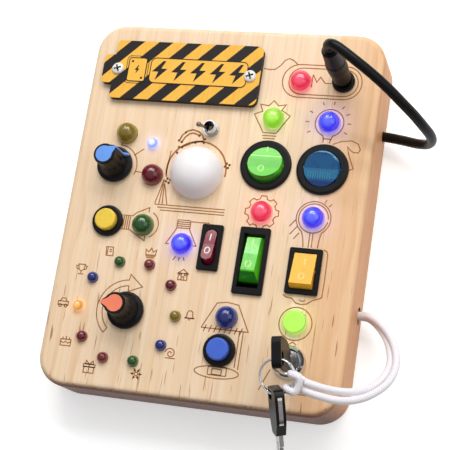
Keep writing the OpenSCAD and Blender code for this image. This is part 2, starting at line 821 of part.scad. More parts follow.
tall_frame = 3;      // width of the tall switch's bezel at its ends
tall_tilt = 14;
tall_pivot = 7;      // depth of the tall rocker's pivot
tall_end = tall_l / 2 - tall_frame - 1.3;
tall_profile = [[-tall_end + 2.2, -1], [tall_end - 2.2, -1], [tall_end, tall_pivot - 2],
    [tall_end - 0.6, tall_pivot - 0.6], [tall_end - 2.6, tall_pivot + 3.5],
    [tall_end - 3.2, tall_pivot + 3.9], [0, tall_pivot + 3.75],
    [-tall_end + 3.2, tall_pivot + 3.9], [-tall_end + 2.6, tall_pivot + 3.5],
    [-tall_end + 0.6, tall_pivot - 0.6], [-tall_end, tall_pivot - 2]];

module tall_body() {
    open_w = tall_w - 2 * frame_in;
    open_l = tall_l - 2 * tall_frame;
    difference() {
        bezel_and_box(tall_w, tall_l);
        translate([-open_w / 2, -open_l / 2, -tall_pivot - 4])
            cube([open_w, open_l, tall_pivot + 20]);
        translate([0, 0, -tall_pivot]) rotate([0, 90, 0])
            translate([0, 0, -open_w / 2 - trunnion_l - 0.1])
                cylinder(d = trunnion_d + 2 * pin_gap, h = open_w + 2 * trunnion_l + 0.2);
    }
}

module tall_rocker() {
    open_w = tall_w - 2 * frame_in;
    half = open_w / 2 - free_gap;
    top = tall_pivot + 4;
    intersection() {
        translate([half, 0, 0]) rotate([0, -90, 0]) rotate([0, 0, -90]) mirror([1, 0, 0])
            linear_extrude(2 * half) polygon(tall_profile);
        // the flanks lean in above the bezel
        rotate([90, 0, 0]) linear_extrude(tall_l, center = true) polygon([
            [-half - 1, -5], [half + 1, -5], [half + 1, tall_pivot - 2], [half, tall_pivot - 2],
            [half - 1.4, top], [1.4 - half, top], [-half, tall_pivot - 2], [-half - 1, tall_pivot - 2]]);
    }
    trunnions(open_w);
}

module yellow_switch_body() {
    color([0.16, 0.14, 0.15]) on_face(yellow_at) rect_body(yellow_w, yellow_l, false);
}
module yellow_rocker() {
    color("gold") tilted(yellow_at, half_l(yellow_l), -1) rect_rocker(yellow_w, yellow_l);
}
module tall_switch_body() {
    color([0.16, 0.14, 0.15]) on_face(tall_at) tall_body();
}
module tall_green_rocker() {
    color("limegreen") on_face(tall_at) translate([0, 0, -tall_pivot])
        rotate([-tall_tilt, 0, 0]) tall_rocker();
}
module narrow_switch_body() {
    color([0.16, 0.14, 0.15]) on_face(mini_at) rect_body(mini_w, mini_l, true);
}
module narrow_red_rocker() {
    color("maroon") tilted(mini_at, half_l(mini_l), -1) narrow_rocker();
}
module round_green_switch_body() {
    color([0.16, 0.14, 0.15]) on_face(round_green_at) round_body();
}
module round_green_rocker() {
    color("limegreen") tilted(round_green_at, round_r, -1) round_rocker();
}
module round_blue_switch_body() {
    color([0.16, 0.14, 0.15]) on_face(round_blue_at) round_body();
}
module round_blue_rocker() {
    color("steelblue") tilted(round_blue_at, round_r, 1) round_rocker();
}

// ================= push buttons =================

button_barrel_d = 12.6;
button_depth = 14;
button_ring_h = 2;
cap_rise = 5;        // height of a cap over the face
cap_skirt = 3.6;     // how far a cap reaches below the face
cap_flange = 0.35;

module button_body() {
    difference() {
        rotate_extrude() polygon([[0, -button_depth], [button_barrel_d / 2, -button_depth],
            [button_barrel_d / 2, 0], [button_ring_d / 2, 0], [button_ring_d / 2, button_ring_h - 0.7],
            [button_ring_d / 2 - 0.2, button_ring_h - 0.2], [button_ring_d / 2 - 0.8, button_ring_h],
            [0, button_ring_h]]);
        cylinder(r = button_cap_d / 2 + slip, h = 10);
        translate([0, 0, -button_depth + 2])
            cylinder(r = button_cap_d / 2 + cap_flange + slip, h = button_depth - 2.2);
        translate([0, 0, -0.21]) cylinder(r = button_cap_d / 2 + slip, h = 1);
    }
}

module button_cap() {
    rotate_extrude() polygon(concat(
        [[0, -cap_skirt], [button_cap_d / 2 + cap_flange, -cap_skirt],
        [button_cap_d / 2 + cap_flange, -cap_skirt + 1], [button_cap_d / 2, -cap_skirt + 1]],
        [for (a = [0:15:90]) [button_cap_d / 2 - 0.8 + 0.8 * cos(a), cap_rise - 0.8 + 0.8 * sin(a)]],
        [[0, cap_rise]]));
}

module button_spring() {
    ring(4.2, 2.6, -button_depth + 2, -cap_skirt);
}

module yellow_button_body() {
    color([0.16, 0.14, 0.15]) on_face(yellow_button_at) button_body();
}
module yellow_button_cap() {
    color("khaki") on_face(yellow_button_at) button_cap();
}
module yellow_button_spring() {
    color("silver") on_face(yellow_button_at) button_spring();
}
module blue_button_body() {
    color([0.16, 0.14, 0.15]) on_face(blue_button_at) button_body();
}
module blue_button_cap() {
    color("royalblue") on_face(blue_button_at) button_cap();
}
module blue_button_spring() {
    color("silver") on_face(blue_button_at) button_spring();
}

// ================= nuts and terminals =================

button_nut = 15.5;    // sizes across flats
jack_nut = 11;
lock_nut = 15;

module panel_nuts() {
    color("silver") {
        for (p = [blue_knob_at, orange_knob_at]) on_face(p)
            hex_nut(nut_flats, bushing_d / 2 + 0.02, 0, nut_t);
        on_face(toggle_at) difference() {
            cylinder(d = toggle_bush_d + 1.4, h = 0.8);
            translate([0, 0, -eps]) cylinder(d = toggle_bush_d + 0.04, h = 0.8 + 2 * eps);
        }
        for (p = [yellow_button_at, blue_button_at]) on_face(p)
            hex_nut(button_nut, button_barrel_d / 2 + 0.02, -face_wall - 2.4, -face_wall);
        on_face(jack_at) hex_nut(jack_nut, jack_barrel_d / 2 + 0.02, -face_wall - 2, -face_wall);
        on_face(lock_at) hex_nut(lock_nut, lock_barrel_d / 2 + 0.02, -face_wall - 2.4, -face_wall);
    }
}

blade_l = 6.5;
lead_l = 7;

module blades(p, spacing, z_body) {
    for (s = [-1, 0, 1]) translate([p[0] - 2.4, p[1] + s * spacing - 0.4, z_body - blade_l])
        cube([4.8, 0.8, blade_l]);
}

module lamp_leads(p, z_flange) {
    for (s = [-1, 1]) translate([p[0] + s * 1.27 - 0.25, p[1] - 0.25, z_flange - 1 - lead_l])
        cube([0.5, 0.5, lead_l]);
}

module metal_terminals() {
    color("silver") {
        for (p = [yellow_at, tall_at, mini_at, round_green_at, round_blue_at])
            blades(p, 6, face_z - body_depth);
        for (p = large_lamps) lamp_leads(p, wall_z);
        lamp_leads(lock_lamp_at, wall_z);
        for (p = small_lamps) lamp_leads(p, wall_z + small_pocket);
        for (p = [blue_knob_at, orange_knob_at]) for (s = [-1, 0, 1])
            translate([p[0] + s * 4 - 0.6, p[1] - 5, wall_z - switch_body_h - 4]) cube([1.2, 0.6, 4]);
    }
}

// ================= power jack, plug and lead =================

jack_barrel_d = 8.4;
jack_ring_d = 10.6;
jack_ring_h = 2.2;
jack_bore_d = plug_sleeve_d + 1.2;
jack_depth = 13;
plug_grip_l = 17;
plug_relief_l = 11;

module power_jack() {
    color("black") on_face(jack_at) rotate_extrude() polygon([
        [0, -jack_depth], [jack_barrel_d / 2, -jack_depth], [jack_barrel_d / 2, 0],
        [jack_ring_d / 2, 0], [jack_ring_d / 2, jack_ring_h - 0.6],
        [jack_ring_d / 2 - 0.6, jack_ring_h], [jack_bore_d / 2 + 0.5, jack_ring_h],
        [jack_bore_d / 2, jack_ring_h - 0.5], [jack_bore_d / 2, -jack_depth + 2.5],
        [0.7, -jack_depth + 2.5], [0.7, -jack_depth + 6], [0, -jack_depth + 6.5]]);
}

// the plug leans a little in its jack, about the middle of its sleeve
plug_pivot = jack_ring_h + 0.8 - plug_sleeve_l / 2;
module plug_frame() {
    on_face(jack_at) translate([0, 0, plug_pivot]) rotate(plug_lean_turn)
        rotate([0, plug_lean, 0]) children();
}

module power_plug() {
    base = plug_sleeve_l / 2;
    g = plug_grip_d / 2;
    color([0.14, 0.12, 0.14]) plug_frame() rotate_extrude() polygon([
        [1.5, -base], [plug_sleeve_d / 2, -base], [plug_sleeve_d / 2, base],
        [g - 0.9, base], [g - 0.6, base + 0.5], [g - 0.35, base + plug_grip_l * 0.4],
        [g, base + plug_grip_l * 0.62], [g, base + plug_grip_l - 1],
        [g - 0.35, base + plug_grip_l], [g - 0.7, base + plug_grip_l + 0.5 * plug_relief_l],
        [lead_d / 2 + 1.6, base + plug_grip_l + plug_relief_l - 1],
        [lead_d / 2 + 0.8, base + plug_grip_l + plug_relief_l],
        [0, base + plug_grip_l + plug_relief_l], [0, base - 0.5], [1.5, base - 0.5]]);
}

// sweep of a tube along points: each ring lies square to the path
function unit(v) = v / norm(v);
function tangent(pts, i) = i == 0 ? unit(pts[1] - pts[0])
    : i == len(pts) - 1 ? unit(pts[i] - pts[i - 1])
    : unit(unit(pts[i + 1] - pts[i]) + unit(pts[i] - pts[i - 1]));
function carried(pts, i) = i == 0
    ? unit(cross(tangent(pts, 0), [0.3, 0.2, 1]))
    : let(before = carried(pts, i - 1), t = tangent(pts, i)) unit(before - t * (before * t));

module tube(pts, d, sides) {
    n = len(pts);
    rings = [for (i = [0:n - 1]) let(t = tangent(pts, i), u = carried(pts, i), v = cross(t, u))
        for (k = [0:sides - 1]) let(a = 360 * (k + 0.5) / sides)
            pts[i] + d / 2 * (cos(a) * u + sin(a) * v)];
    sides_faces = [for (i = [0:n - 2], k = [0:sides - 1]) let(j = (k + 1) % sides)
        each [[i * sides + k, (i + 1) * sides + k, i * sides + j],
            [i * sides + j, (i + 1) * sides + k, (i + 1) * sides + j]]];
    caps = [for (k = [1:sides - 2]) each [[0, k, k + 1],
        [(n - 1) * sides, (n - 1) * sides + k + 1, (n - 1) * sides + k]]];
    polyhedron(points = rings, faces = concat(sides_faces, caps), convexity = 6);
}

// points of a smooth curve through the given ones
function spline_at(p, i, t) = let(n = len(p) - 1,
    a = p[max(i - 1, 0)], b = p[i], c = p[min(i + 1, n)], d = p[min(i + 2, n)])
    0.5 * (2 * b + (c - a) * t + (2 * a - 5 * b + 4 * c - d) * t * t
        + (3 * b - a - 3 * c + d) * t * t * t);
function smooth(p, steps) = [for (i = [0:len(p) - 2], k = [0:steps - 1]) spline_at(p, i, k / steps),
    p[len(p) - 1]];

lead_route = [[51.4, 67.8, 57], [51.3, 68, 60.2], [52.9, 67.6, 63.6], [56.8, 65.6, 65.4],
    [63.8, 61.1, 64.4], [71.7, 56.2, 61.2], [79, 51.5, 56.4], [84.8, 47.5, 50.8],
    [89.6, 44.4, 44.8], [93.7, 41.6, 37.8], [96, 40.3, 30.8], [96, 39.8, 24.3],
    [93.4, 40.2, 18.5], [88.3, 41.7, 14], [82, 43.8, 10.6], [76, 45.5, 8], [71, 46.3, 7],
    [64, 46.3, 7]];

module power_lead() {
    color("black") tube(smooth(lead_route, 2), lead_d, 8);
}

// ================= lock and keys =================

lock_bezel_h = 3;
lock_depth = 22;
rotor_top = 1.4;
slot_l = key_blade_w + 2 * pin_gap;
slot_t = key_blade_t + 2 * pin_gap;
key_base = 7;        // height of the head's shoulder over the face
blade_reach = 20;    // length of a blade below the head
hole_d = 4;
hole_half = 1.2;     // half of the slot's straight part
hole_y = -2.6;       // the hole stands off the head's middle line
hole_in = 3.4;       // distance of the ring's hole from the head's end
core_in = 0.8;       // the metal core stops this far from the head's end

module lock_body() {
    color("silver") on_face(lock_at) difference() {
        rotate_extrude() polygon([[0, -lock_depth], [lock_barrel_d / 2, -lock_depth],
            [lock_barrel_d / 2, 0], [lock_bezel_d / 2, 0], [lock_bezel_d / 2, 0.8],
            [lock_bezel_d / 2 - 0.6, lock_bezel_h - 0.8], [lock_bezel_d / 2 - 1.4, lock_bezel_h],
            [rotor_d / 2 + 1.4, lock_bezel_h], [rotor_d / 2 + 0.6, rotor_top + 0.4],
            [0, rotor_top + 0.4]]);
        translate([0, 0, -lock_depth + 1])
            cylinder(d = rotor_d + 2 * pin_gap, h = lock_depth + lock_bezel_h);
    }
}

module lock_rotor() {
    color("gray") on_face(lock_at) rotate(key_turn) difference() {
        translate([0, 0, -lock_depth + 1.1]) cylinder(d = rotor_d, h = lock_depth - 1.1 + rotor_top);
        translate([-slot_t / 2, -slot_l / 2, -lock_depth + 3]) cube([slot_t, slot_l, 60]);
    }
}

// a key stands with its blade down, the head's shoulder at z = 0, flat in the YZ plane
module flat_key(t) {
    translate([t / 2, 0, 0]) rotate([0, -90, 0]) rotate([0, 0, -90]) mirror([1, 0, 0])
        linear_extrude(t) children();
}

shoulder = 7;

module head_outline() {
    w = key_head_w / 2;
    l = key_head_l;
    polygon(rounded([[3.6, 0.6], [w, shoulder], [w, l], [-w, l], [-w, shoulder], [-3.6, 0.6]],
        [1, 6, 3, 3, 6, 1]));
}

module ring_hole() {
    translate([-10, hole_y, key_head_l - hole_in]) rotate([90, 0, 90]) linear_extrude(20) {
        square([2 * hole_half, hole_d], center = true);
        for (s = [-1, 1]) translate([s * hole_half, 0]) circle(d = hole_d);
    }
}

// outline of the one-piece blade and core, from the tip up one side and down the other
function metal_outline() = let(
    b = key_blade_w / 2,
    w = key_head_w / 2 + 0.15,
    top = key_head_l - core_in,
    bite = 3.4)
    concat([[b - 2.4, -blade_reach], [b - 0.4, 2.4 - blade_reach]],
        [for (i = [3:-1:0]) each [[b - 1 - i % 3 * 0.6, -6 - i * bite],
            [b - 1 - i % 3 * 0.6, -5.4 - i * bite], [b, -4 - i * bite]]],
        [[b, 1.4]],
        fillet([b, 1.4], [w, shoulder], [w, top], 6, 6),
        fillet([w, shoulder], [w, top], [-w, top], 3, 5),
        fillet([w, top], [-w, top], [-w, shoulder], 3, 5),
        fillet([-w, top], [-w, shoulder], [-b, 1.4], 6, 6),
        [[-b, 1.4], [-b, 2.4 - blade_reach], [2.4 - b, -blade_reach]]);

module key_metal() {
    difference() {
        flat_key(key_blade_t) polygon(metal_outline());
        ring_hole();
        // the groove along each side of the blade
        for (s = [-1, 1]) translate([s * key_blade_t / 2, 0, -blade_reach - eps])
            translate([-0.3, -0.6, 0]) cube([0.6, 1.2, blade_reach - 2]);
    }
}

module key_cover() {
    difference() {
        flat_key(key_head_t) head_outline();
        flat_key(key_blade_t) polygon(metal_outline());
        ring_hole();
    }
}

ring_hole_z = key_base + key_head_l - hole_in;   // over the face
ring_mid_r = split_ring_d / 2 - ring_wire_d / 2;
ring_slope = 18;     // fall of the split ring away from the key
ring_turn = 3;
spare_slope = 24;    // how the spare key hangs from the ring
spare_turn = 8;
spare_roll = 204;
spare_on_ring = -97;
hole_at = [lock_at[0] - hole_y * sin(key_turn), lock_at[1] + hole_y * cos(key_turn),
    face_z + ring_hole_z];

// a point of the ring's middle line, at angle a round it
function ring_point(a) = let(x = ring_mid_r * cos(a), y = ring_mid_r * (sin(a) - 1))
    hole_at + [x * cos(ring_turn) - y * cos(ring_slope) * sin(ring_turn),
        x * sin(ring_turn) + y * cos(ring_slope) * cos(ring_turn), y * sin(ring_slope)];

// frame of the key in the lock
module key_frame() {
    on_face(lock_at) rotate(key_turn) children();
}

// frame of the split ring: its origin is in the key's hole, and it leads off along -Y
module ring_frame() {
    translate(hole_at) rotate(ring_turn) rotate([ring_slope, 0, 0]) children();
}

// frame of the spare key: its hole is at the far side of the ring
module spare_frame() {
    translate(ring_point(spare_on_ring)) rotate(spare_turn) rotate([spare_slope - 90, 0, 0])
        rotate(spare_roll) translate([0, -hole_y, hole_in - key_head_l]) children();
}

module key_blade() {
    color("silver") key_frame() translate([0, 0, key_base]) key_metal();
}
module key_head() {
    color([0.15, 0.13, 0.15]) key_frame() translate([0, 0, key_base]) key_cover();
}
module spare_key_blade() {
    color("silver") spare_frame() key_metal();
}
module spare_key_head() {
    color([0.15, 0.13, 0.15]) spare_frame() key_cover();
}
module split_ring() {
    w = ring_wire_d / 2;
    color("silver") ring_frame() translate([0, -ring_mid_r, 0]) difference() {
        rotate_extrude() translate([ring_mid_r, 0]) {
            translate([0, 0.42 * ring_wire_d]) circle(w, $fn = 16);
            translate([0, -0.42 * ring_wire_d]) circle(w, $fn = 16);
        }
        rotate(200) translate([ring_mid_r - 2, 0, -0.05]) cube([4, 0.5, 2]);
    }
}

// ================= lanyard =================

knot_turn = -16;     // place of the knot on the split ring
knot_half = 23;      // angle from its middle to each wrap
wrap_r = 2.5;        // from the ring's wire to the middle of the cord round it
wrap_d = 3;
lanyard_route = [[64, -39.4, 6.4], [71, -39.4, 6.4], [76, -40.2, 7.6], [81, -44, 10.6],
    [85.6, -49.6, 15], [88.8, -56, 20.6], [90.2, -63, 26.6], [88.8, -69.6, 32.4],
    [84.6, -74.8, 37.2], [78.6, -77.8, 41], [72, -78.6, 43.8], [65.2, -78.1, 45.7],
    [58.9, -76.8, 46.8]];
lanyard_return = [[64, -39.4, 10.2], [71, -39.4, 10.2], [76, -39.6, 11.6], [81.6, -42.6, 14.2],
    [87, -48, 18], [91.2, -55, 23], [93.2, -63, 28.6], [91.8, -70.8, 34], [87, -77, 38.4],
    [80.4, -81, 41.6], [72.8, -82.4, 43.6], [65, -81.6, 45.1], [58.1, -80.1, 45.7]];

module lanyard() {
    color("white") {
        tube(smooth(lanyard_route, 2), lanyard_d, 8);
        tube(smooth(lanyard_return, 2), lanyard_d, 8);
    }
}

// the cord's bight: two wraps round the ring's wire and the bar that crosses between them
module lanyard_knot() {
    color("white") ring_frame() translate([0, -ring_mid_r, 0]) rotate(knot_turn) {
        for (s = [-1, 1]) rotate(s * knot_half) translate([ring_mid_r, 0, 0])
            rotate([90, 0, 0]) rotate_extrude() translate([wrap_r, 0])
                circle(d = wrap_d, $fn = 24);
        translate([ring_mid_r * cos(knot_half) + 2, 0, 1.9]) rotate([90, 0, 0])
            rotate_extrude() intersection() {
                hull() for (s = [-1, 1]) translate([0, s * knot_bar]) circle(d = wrap_d, $fn = 24);
                translate([0, -20]) square([20, 40]);
            }
    }
}

knot_bar = ring_mid_r * sin(knot_half) + 0.4;

board();
back_panel();
back_screws();
battery_box();
battery_cells();
battery_contacts();
battery_door();
circuit_board();
sign_plate();
sign_screws();
blue_knob();
blue_knob_cap();
blue_knob_shaft();
blue_knob_switch();
orange_knob();
orange_knob_cap();
orange_knob_shaft();
orange_knob_switch();
toggle_body();
toggle_lever();
dome_light();
lamps_olive();
lamps_dark_green();
lamps_navy();
lamps_dark_red();
lamps_blue_lit();
lamps_pink_lit();
lamps_green_lit();
lamp_amber_lit();
lamp_white_lit();
yellow_switch_body();
yellow_rocker();
tall_switch_body();
tall_green_rocker();
narrow_switch_body();
narrow_red_rocker();
round_green_switch_body();
round_green_rocker();
round_blue_switch_body();
round_blue_rocker();
metal_terminals();
yellow_button_body();
yellow_button_cap();
yellow_button_spring();
blue_button_body();
blue_button_cap();
blue_button_spring();
panel_nuts();
power_jack();
power_plug();
power_lead();
lock_body();
lock_rotor();
key_blade();
key_head();
split_ring();
spare_key_blade();
spare_key_head();
lanyard();
lanyard_knot();
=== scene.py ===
import json
import math
import bpy
import bmesh
from mathutils import Vector, Matrix


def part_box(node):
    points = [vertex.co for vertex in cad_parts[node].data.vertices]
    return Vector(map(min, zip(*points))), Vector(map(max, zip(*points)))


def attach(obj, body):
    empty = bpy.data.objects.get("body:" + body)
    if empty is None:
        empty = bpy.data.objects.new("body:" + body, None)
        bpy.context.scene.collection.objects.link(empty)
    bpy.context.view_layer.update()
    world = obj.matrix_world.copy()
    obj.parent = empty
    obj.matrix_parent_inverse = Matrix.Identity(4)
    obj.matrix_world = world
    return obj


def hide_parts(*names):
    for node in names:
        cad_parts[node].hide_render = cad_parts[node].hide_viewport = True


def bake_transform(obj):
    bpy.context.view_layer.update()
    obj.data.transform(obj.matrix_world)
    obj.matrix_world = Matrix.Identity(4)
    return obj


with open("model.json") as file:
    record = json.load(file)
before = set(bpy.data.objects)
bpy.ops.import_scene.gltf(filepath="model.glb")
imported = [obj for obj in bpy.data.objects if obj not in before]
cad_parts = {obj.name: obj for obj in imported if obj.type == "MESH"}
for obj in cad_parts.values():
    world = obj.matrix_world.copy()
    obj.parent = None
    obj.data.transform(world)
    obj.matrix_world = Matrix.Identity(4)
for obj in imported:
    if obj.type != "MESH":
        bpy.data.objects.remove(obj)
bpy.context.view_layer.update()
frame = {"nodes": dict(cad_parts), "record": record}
NODE = frame["nodes"]
MM = 0.001
FACE = round(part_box("board")[1][2] / MM, 2)     # height of the board's face, mm
SIGN_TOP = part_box("sign_plate")[1][2] / MM


def turned(r, deg, c=(0.0, 0.0)):
    """The point at distance r and an angle in degrees from c."""
    return (c[0] + r * math.cos(math.radians(deg)), c[1] + r * math.sin(math.radians(deg)))


# ---------------------------------------------------------------- places on the face, mm
LOCK = (46.6, -66.4)
BLUE_KNOB = (-50.0, 17.0)
ORANGE_KNOB = (-32.0, -51.7)
DOME = (-10.3, 17.3)
BLUE_LIT = ((-10.9, -18.3), (49.2, 44.7), (48.1, -0.8))
PINK_LIT = ((33.2, 63.9), (24.0, 0.0))
GREEN_LIT = (23.0, 44.9)
FLAT_LIT = (46.6, -48.6)
WHITE_LIT = (-33.5, 29.0)
SIGN_SCREWS = ((-56.8, 64.6), (9.2, 64.2))


def dial_lamp(i):
    """Place of one of the ten small lamps round the orange knob, clockwise from the one above it."""
    return turned(23.6, 108 - 36 * i, ORANGE_KNOB)


# ---------------------------------------------------------------- camera
# fitted to the corners of the board in the photograph
LENS = 101.61                                   # mm, on a sensor 36 mm wide
CAM_AT = (0.16998, -0.14613, 0.56328)
CAM_RIGHT = (0.95616, 0.15439, -0.24883)
CAM_UP = (-0.08375, 0.95841, 0.27283)
CAM_BACK = (0.28060, -0.24003, 0.92933)

scene = bpy.context.scene
scene.view_settings.view_transform = "Standard"
cam_data = bpy.data.cameras.new("camera")
cam_data.lens = LENS
cam_data.sensor_width = 36.0
cam_data.sensor_fit = "HORIZONTAL"
cam = bpy.data.objects.new("camera", cam_data)
cam.matrix_world = Matrix([*zip(CAM_RIGHT, CAM_UP, CAM_BACK, CAM_AT), (0, 0, 0, 1)])
scene.collection.objects.link(cam)
scene.camera = cam


# ---------------------------------------------------------------- shader helpers
def lin(r, g, b):
    """A colour written as on a screen, 0 to 255, as linear light."""
    def one(v):
        v = v / 255.0
        return v / 12.92 if v <= 0.04045 else ((v + 0.055) / 1.055) ** 2.4
    return (one(r), one(g), one(b), 1.0)


def shade(colour, times, plus=0.0):
    """A linear colour made darker or lighter."""
    return tuple(min(1, c * times + plus) for c in colour[:3]) + (1,)


class Tree:
    """A new material or world, with short calls that add nodes to it."""
    def __init__(self, name, library=bpy.data.materials, out="ShaderNodeOutputMaterial"):
        self.mat = library.new(name)
        self.mat.use_nodes = True
        self.nt = self.mat.node_tree
        self.nt.nodes.clear()
        self.out = self.nt.nodes.new(out)

    def put(self, socket, value):
        """Link a socket to value, or set it."""
        if isinstance(value, bpy.types.NodeSocket):
            self.nt.links.new(value, socket)
        else:
            socket.default_value = value

    def node(self, kind, props=None, **inputs):
        """A node with its inputs by name, with _ for a space, or as i and their number."""
        n = self.nt.nodes.new(kind)
        for k, v in (props or {}).items():
            setattr(n, k, v)
        for k, v in inputs.items():
            key = int(k[1:]) if k[0] == "i" and k[1:].isdigit() else k.replace("_", " ")
            self.put(n.inputs[key], v)
        return n

    def math(self, op, a, b=None, c=None, clamp=False):
        """The result of a sum or comparison, each value a number or a socket."""
        n = self.node("ShaderNodeMath", {"operation": op, "use_clamp": clamp})
        for i, v in enumerate((a, b, c)):
            if v is not None:
                self.put(n.inputs[i], v)
        return n.outputs[0]

    def mix(self, fac, a, b, blend="MIX"):
        """Colour a with b laid over it, as much as fac says."""
        n = self.node("ShaderNodeMix", {"data_type": "RGBA", "blend_type": blend}, i0=fac, i6=a, i7=b)
        return n.outputs[2]

    def stain(self, base, mask, much, rgb, blend="MIX"):
        """base with a screen colour laid over it where mask is 1, as much as much."""
        return self.mix(self.math("MULTIPLY", mask, much), base, lin(*rgb), blend)

    def ramp(self, fac, stops):
        """Colours by fac, from stops (position, colour)."""
        n = self.node("ShaderNodeValToRGB", i0=fac)
        el = n.color_ramp.elements
        el.remove(el[-1])
        el[0].position, el[0].color = stops[0]
        for pos, col in stops[1:]:
            el.new(pos).color = col
        return n.outputs[0]

    def grey(self, fac, *stops):
        """Values by fac, from stops (position, value)."""
        return self.ramp(fac, [(p, (v, v, v, 1)) for p, v in stops])

    def noise(self, scale, detail, rough, offset=(0, 0, 0), distort=0.0):
        """Noise over the object's millimetres times scale, one number or one for each axis."""
        scale = scale if isinstance(scale, tuple) else (scale,) * 3
        tc = self.node("ShaderNodeTexCoord")
        m = self.node("ShaderNodeMapping", Vector=tc.outputs["Object"], Location=offset,
                      Scale=tuple(s / MM for s in scale))
        n = self.node("ShaderNodeTexNoise", Vector=m.outputs[0], Scale=1.0, Detail=detail,
                      Roughness=rough, Distortion=distort)
        return n.outputs[0]

    def sway(self, noise, much):
        """The noise about 0, times much."""
        return self.math("MULTIPLY", self.math("SUBTRACT", noise, 0.5), much)

    def axes(self, kind, output):
        """X, Y and Z of a new node's output."""
        return self.node("ShaderNodeSeparateXYZ", Vector=self.node(kind).outputs[output]).outputs

    def normal(self):
        """X, Y and Z of the surface's normal."""
        return self.axes("ShaderNodeNewGeometry", "Normal")

    def place(self):
        """The point's place on the object, in millimetres."""
        return [self.math("MULTIPLY", c, 1 / MM) for c in self.axes("ShaderNodeTexCoord", "Object")]

    def bump(self, height, distance, strength):
        """A normal that follows height, its distance in metres."""
        return self.node("ShaderNodeBump", Height=height, Distance=distance, Strength=strength).outputs[0]

    def shader(self, **inputs):
        """The surface, as one Principled shader."""
        self.put(self.out.inputs[0], self.node("ShaderNodeBsdfPrincipled", **inputs).outputs[0])


# ---------------------------------------------------------------- plastics and metal
def plastic(name, rgb, rough=0.35, grain=0.3, coat=0.0, vary=0.08, spec=0.4, sss=0.0, worn=0.25, glow=0.0):
    """Moulded plastic: a little unevenness in colour and gloss, a fine moulded grain, small paler scuffs and,
    with glow, a painted glow.
    """
    t = Tree(name)
    base = lin(*rgb)
    patch = t.grey(t.noise(0.12, 3.0, 0.6), (0.3, 0), (0.7, 1))
    col = t.mix(patch, shade(base, 1 - vary), shade(base, 1 + vary))
    scuff = t.grey(t.noise(0.9, 4.0, 0.7), (0.62, 0), (0.74, 1))
    col = t.mix(t.math("MULTIPLY", scuff, worn), col, shade(base, 0.75, 0.10))
    gloss = t.grey(t.noise(0.5, 4.0, 0.7), (0.25, max(0.02, rough - 0.05)), (0.75, rough + 0.05))
    extra = {}
    if sss > 0:
        extra.update(Subsurface_Weight=sss, Subsurface_Scale=0.003)
    # painted glow: with glow the plastic gives off a little light of its own colour
    if glow > 0:
        extra.update(Emission_Color=col, Emission_Strength=glow)
    t.shader(Base_Color=col, Roughness=gloss, Specular_IOR_Level=spec, Coat_Weight=coat, Coat_Roughness=0.05,
             Normal=t.bump(t.noise(4.0, 2.0, 0.6), 0.00002, grain), **extra)
    return t.mat


def translucent(name, mid, light, deep, painted_bands=()):
    """Clear tinted plastic with painted light and shade: paler at its raised end and edges, deep at its foot,
    and a faint painted glow. Each band, a painted highlight or painted shade, runs from one y to another, mm,
    with the softness of its edges, its colour and its strength."""
    t = Tree(name)
    ny = t.normal()[1]
    cloud = t.noise((0.35, 0.12, 0.35), 3.0, 0.6)
    fine = t.noise((1.6, 0.3, 1.6), 2.0, 0.6)
    v = t.math("MULTIPLY_ADD", cloud, 0.7, t.math("MULTIPLY_ADD", fine, 0.3, -0.02))
    # painted light and shade: faces turned to +y are paler, faces turned to -y deeper in colour
    v = t.math("ADD", v, t.grey(ny, (0.25, 0.0), (0.55, 0.45)))
    v = t.math("SUBTRACT", v, t.grey(t.math("MULTIPLY", ny, -1.0), (0.30, 0.0), (0.75, 0.4)))
    col = t.ramp(v, [(0.15, lin(*deep)), (0.45, lin(*mid)), (0.62, lin(*mid)), (1.0, lin(*light))])
    y = t.place()[1]
    # each band paints a highlight or a shade across the part
    for y0, y1, soft, rgb, much in painted_bands:
        lo = t.math("DIVIDE", t.math("SUBTRACT", y, y0), soft, clamp=True)
        hi = t.math("DIVIDE", t.math("SUBTRACT", y1, y), soft, clamp=True)
        wave = t.math("MULTIPLY_ADD", fine, 0.5, 0.75)
        part = t.math("MULTIPLY", t.math("MULTIPLY", lo, hi), t.math("MULTIPLY", wave, much), clamp=True)
        col = t.mix(part, col, lin(*rgb))
    # the emission is a painted glow of the plastic's own colour
    t.shader(Base_Color=col, Roughness=0.24, Specular_IOR_Level=0.3, Coat_Weight=0.35, Coat_Roughness=0.06,
             Subsurface_Weight=0.2, Subsurface_Scale=0.003, Normal=t.bump(cloud, 0.00002, 0.1),
             Emission_Color=col, Emission_Strength=0.12)
    return t.mat


def metal(name, rgb, rough=0.2, scratch=0.25, dirt=0.15, pits=0.35):
    """Plated metal with fine scratches and a little tarnish."""
    t = Tree(name)
    lines = t.noise((0.3, 0.3, 6.0), 3.0, 0.7)
    base = lin(*rgb)
    col = t.mix(t.grey(t.noise(0.35, 4.0, 0.6), (0.35, 0), (0.7, 1)), shade(base, 1 - dirt), base)
    col = t.stain(col, t.grey(t.noise(1.2, 3.0, 0.6), (0.60, 0), (0.72, 1)), pits, (48, 44, 46))
    gloss = t.grey(lines, (0.3, max(0.03, rough - 0.05)), (0.7, rough + 0.07))
    t.shader(Base_Color=col, Metallic=1.0, Roughness=gloss, Normal=t.bump(lines, 0.00001, scratch))
    return t.mat


# ---------------------------------------------------------------- wood
JOINTS = (49.3, 12.0, -15.5)                    # x of the glued joints between the staves, mm
RING_GAP = 5.2                                  # mm between growth rings
# each lit lamp's place, radius and the colour of its light, painted on the wood round it as a glow
PAINTED_GLOWS = ((BLUE_LIT[0], 5.0, (120, 110, 255)), (BLUE_LIT[1], 5.0, (130, 120, 255)),
         (BLUE_LIT[2], 5.0, (140, 130, 240)), (PINK_LIT[0], 5.0, (225, 70, 90)),
         (PINK_LIT[1], 5.0, (225, 80, 90)), (GREEN_LIT, 5.0, (120, 170, 60)),
         (FLAT_LIT, 5.3, (120, 170, 60)), (dial_lamp(8), 2.5, (225, 150, 70)),
         (WHITE_LIT, 2.7, (150, 160, 255)))


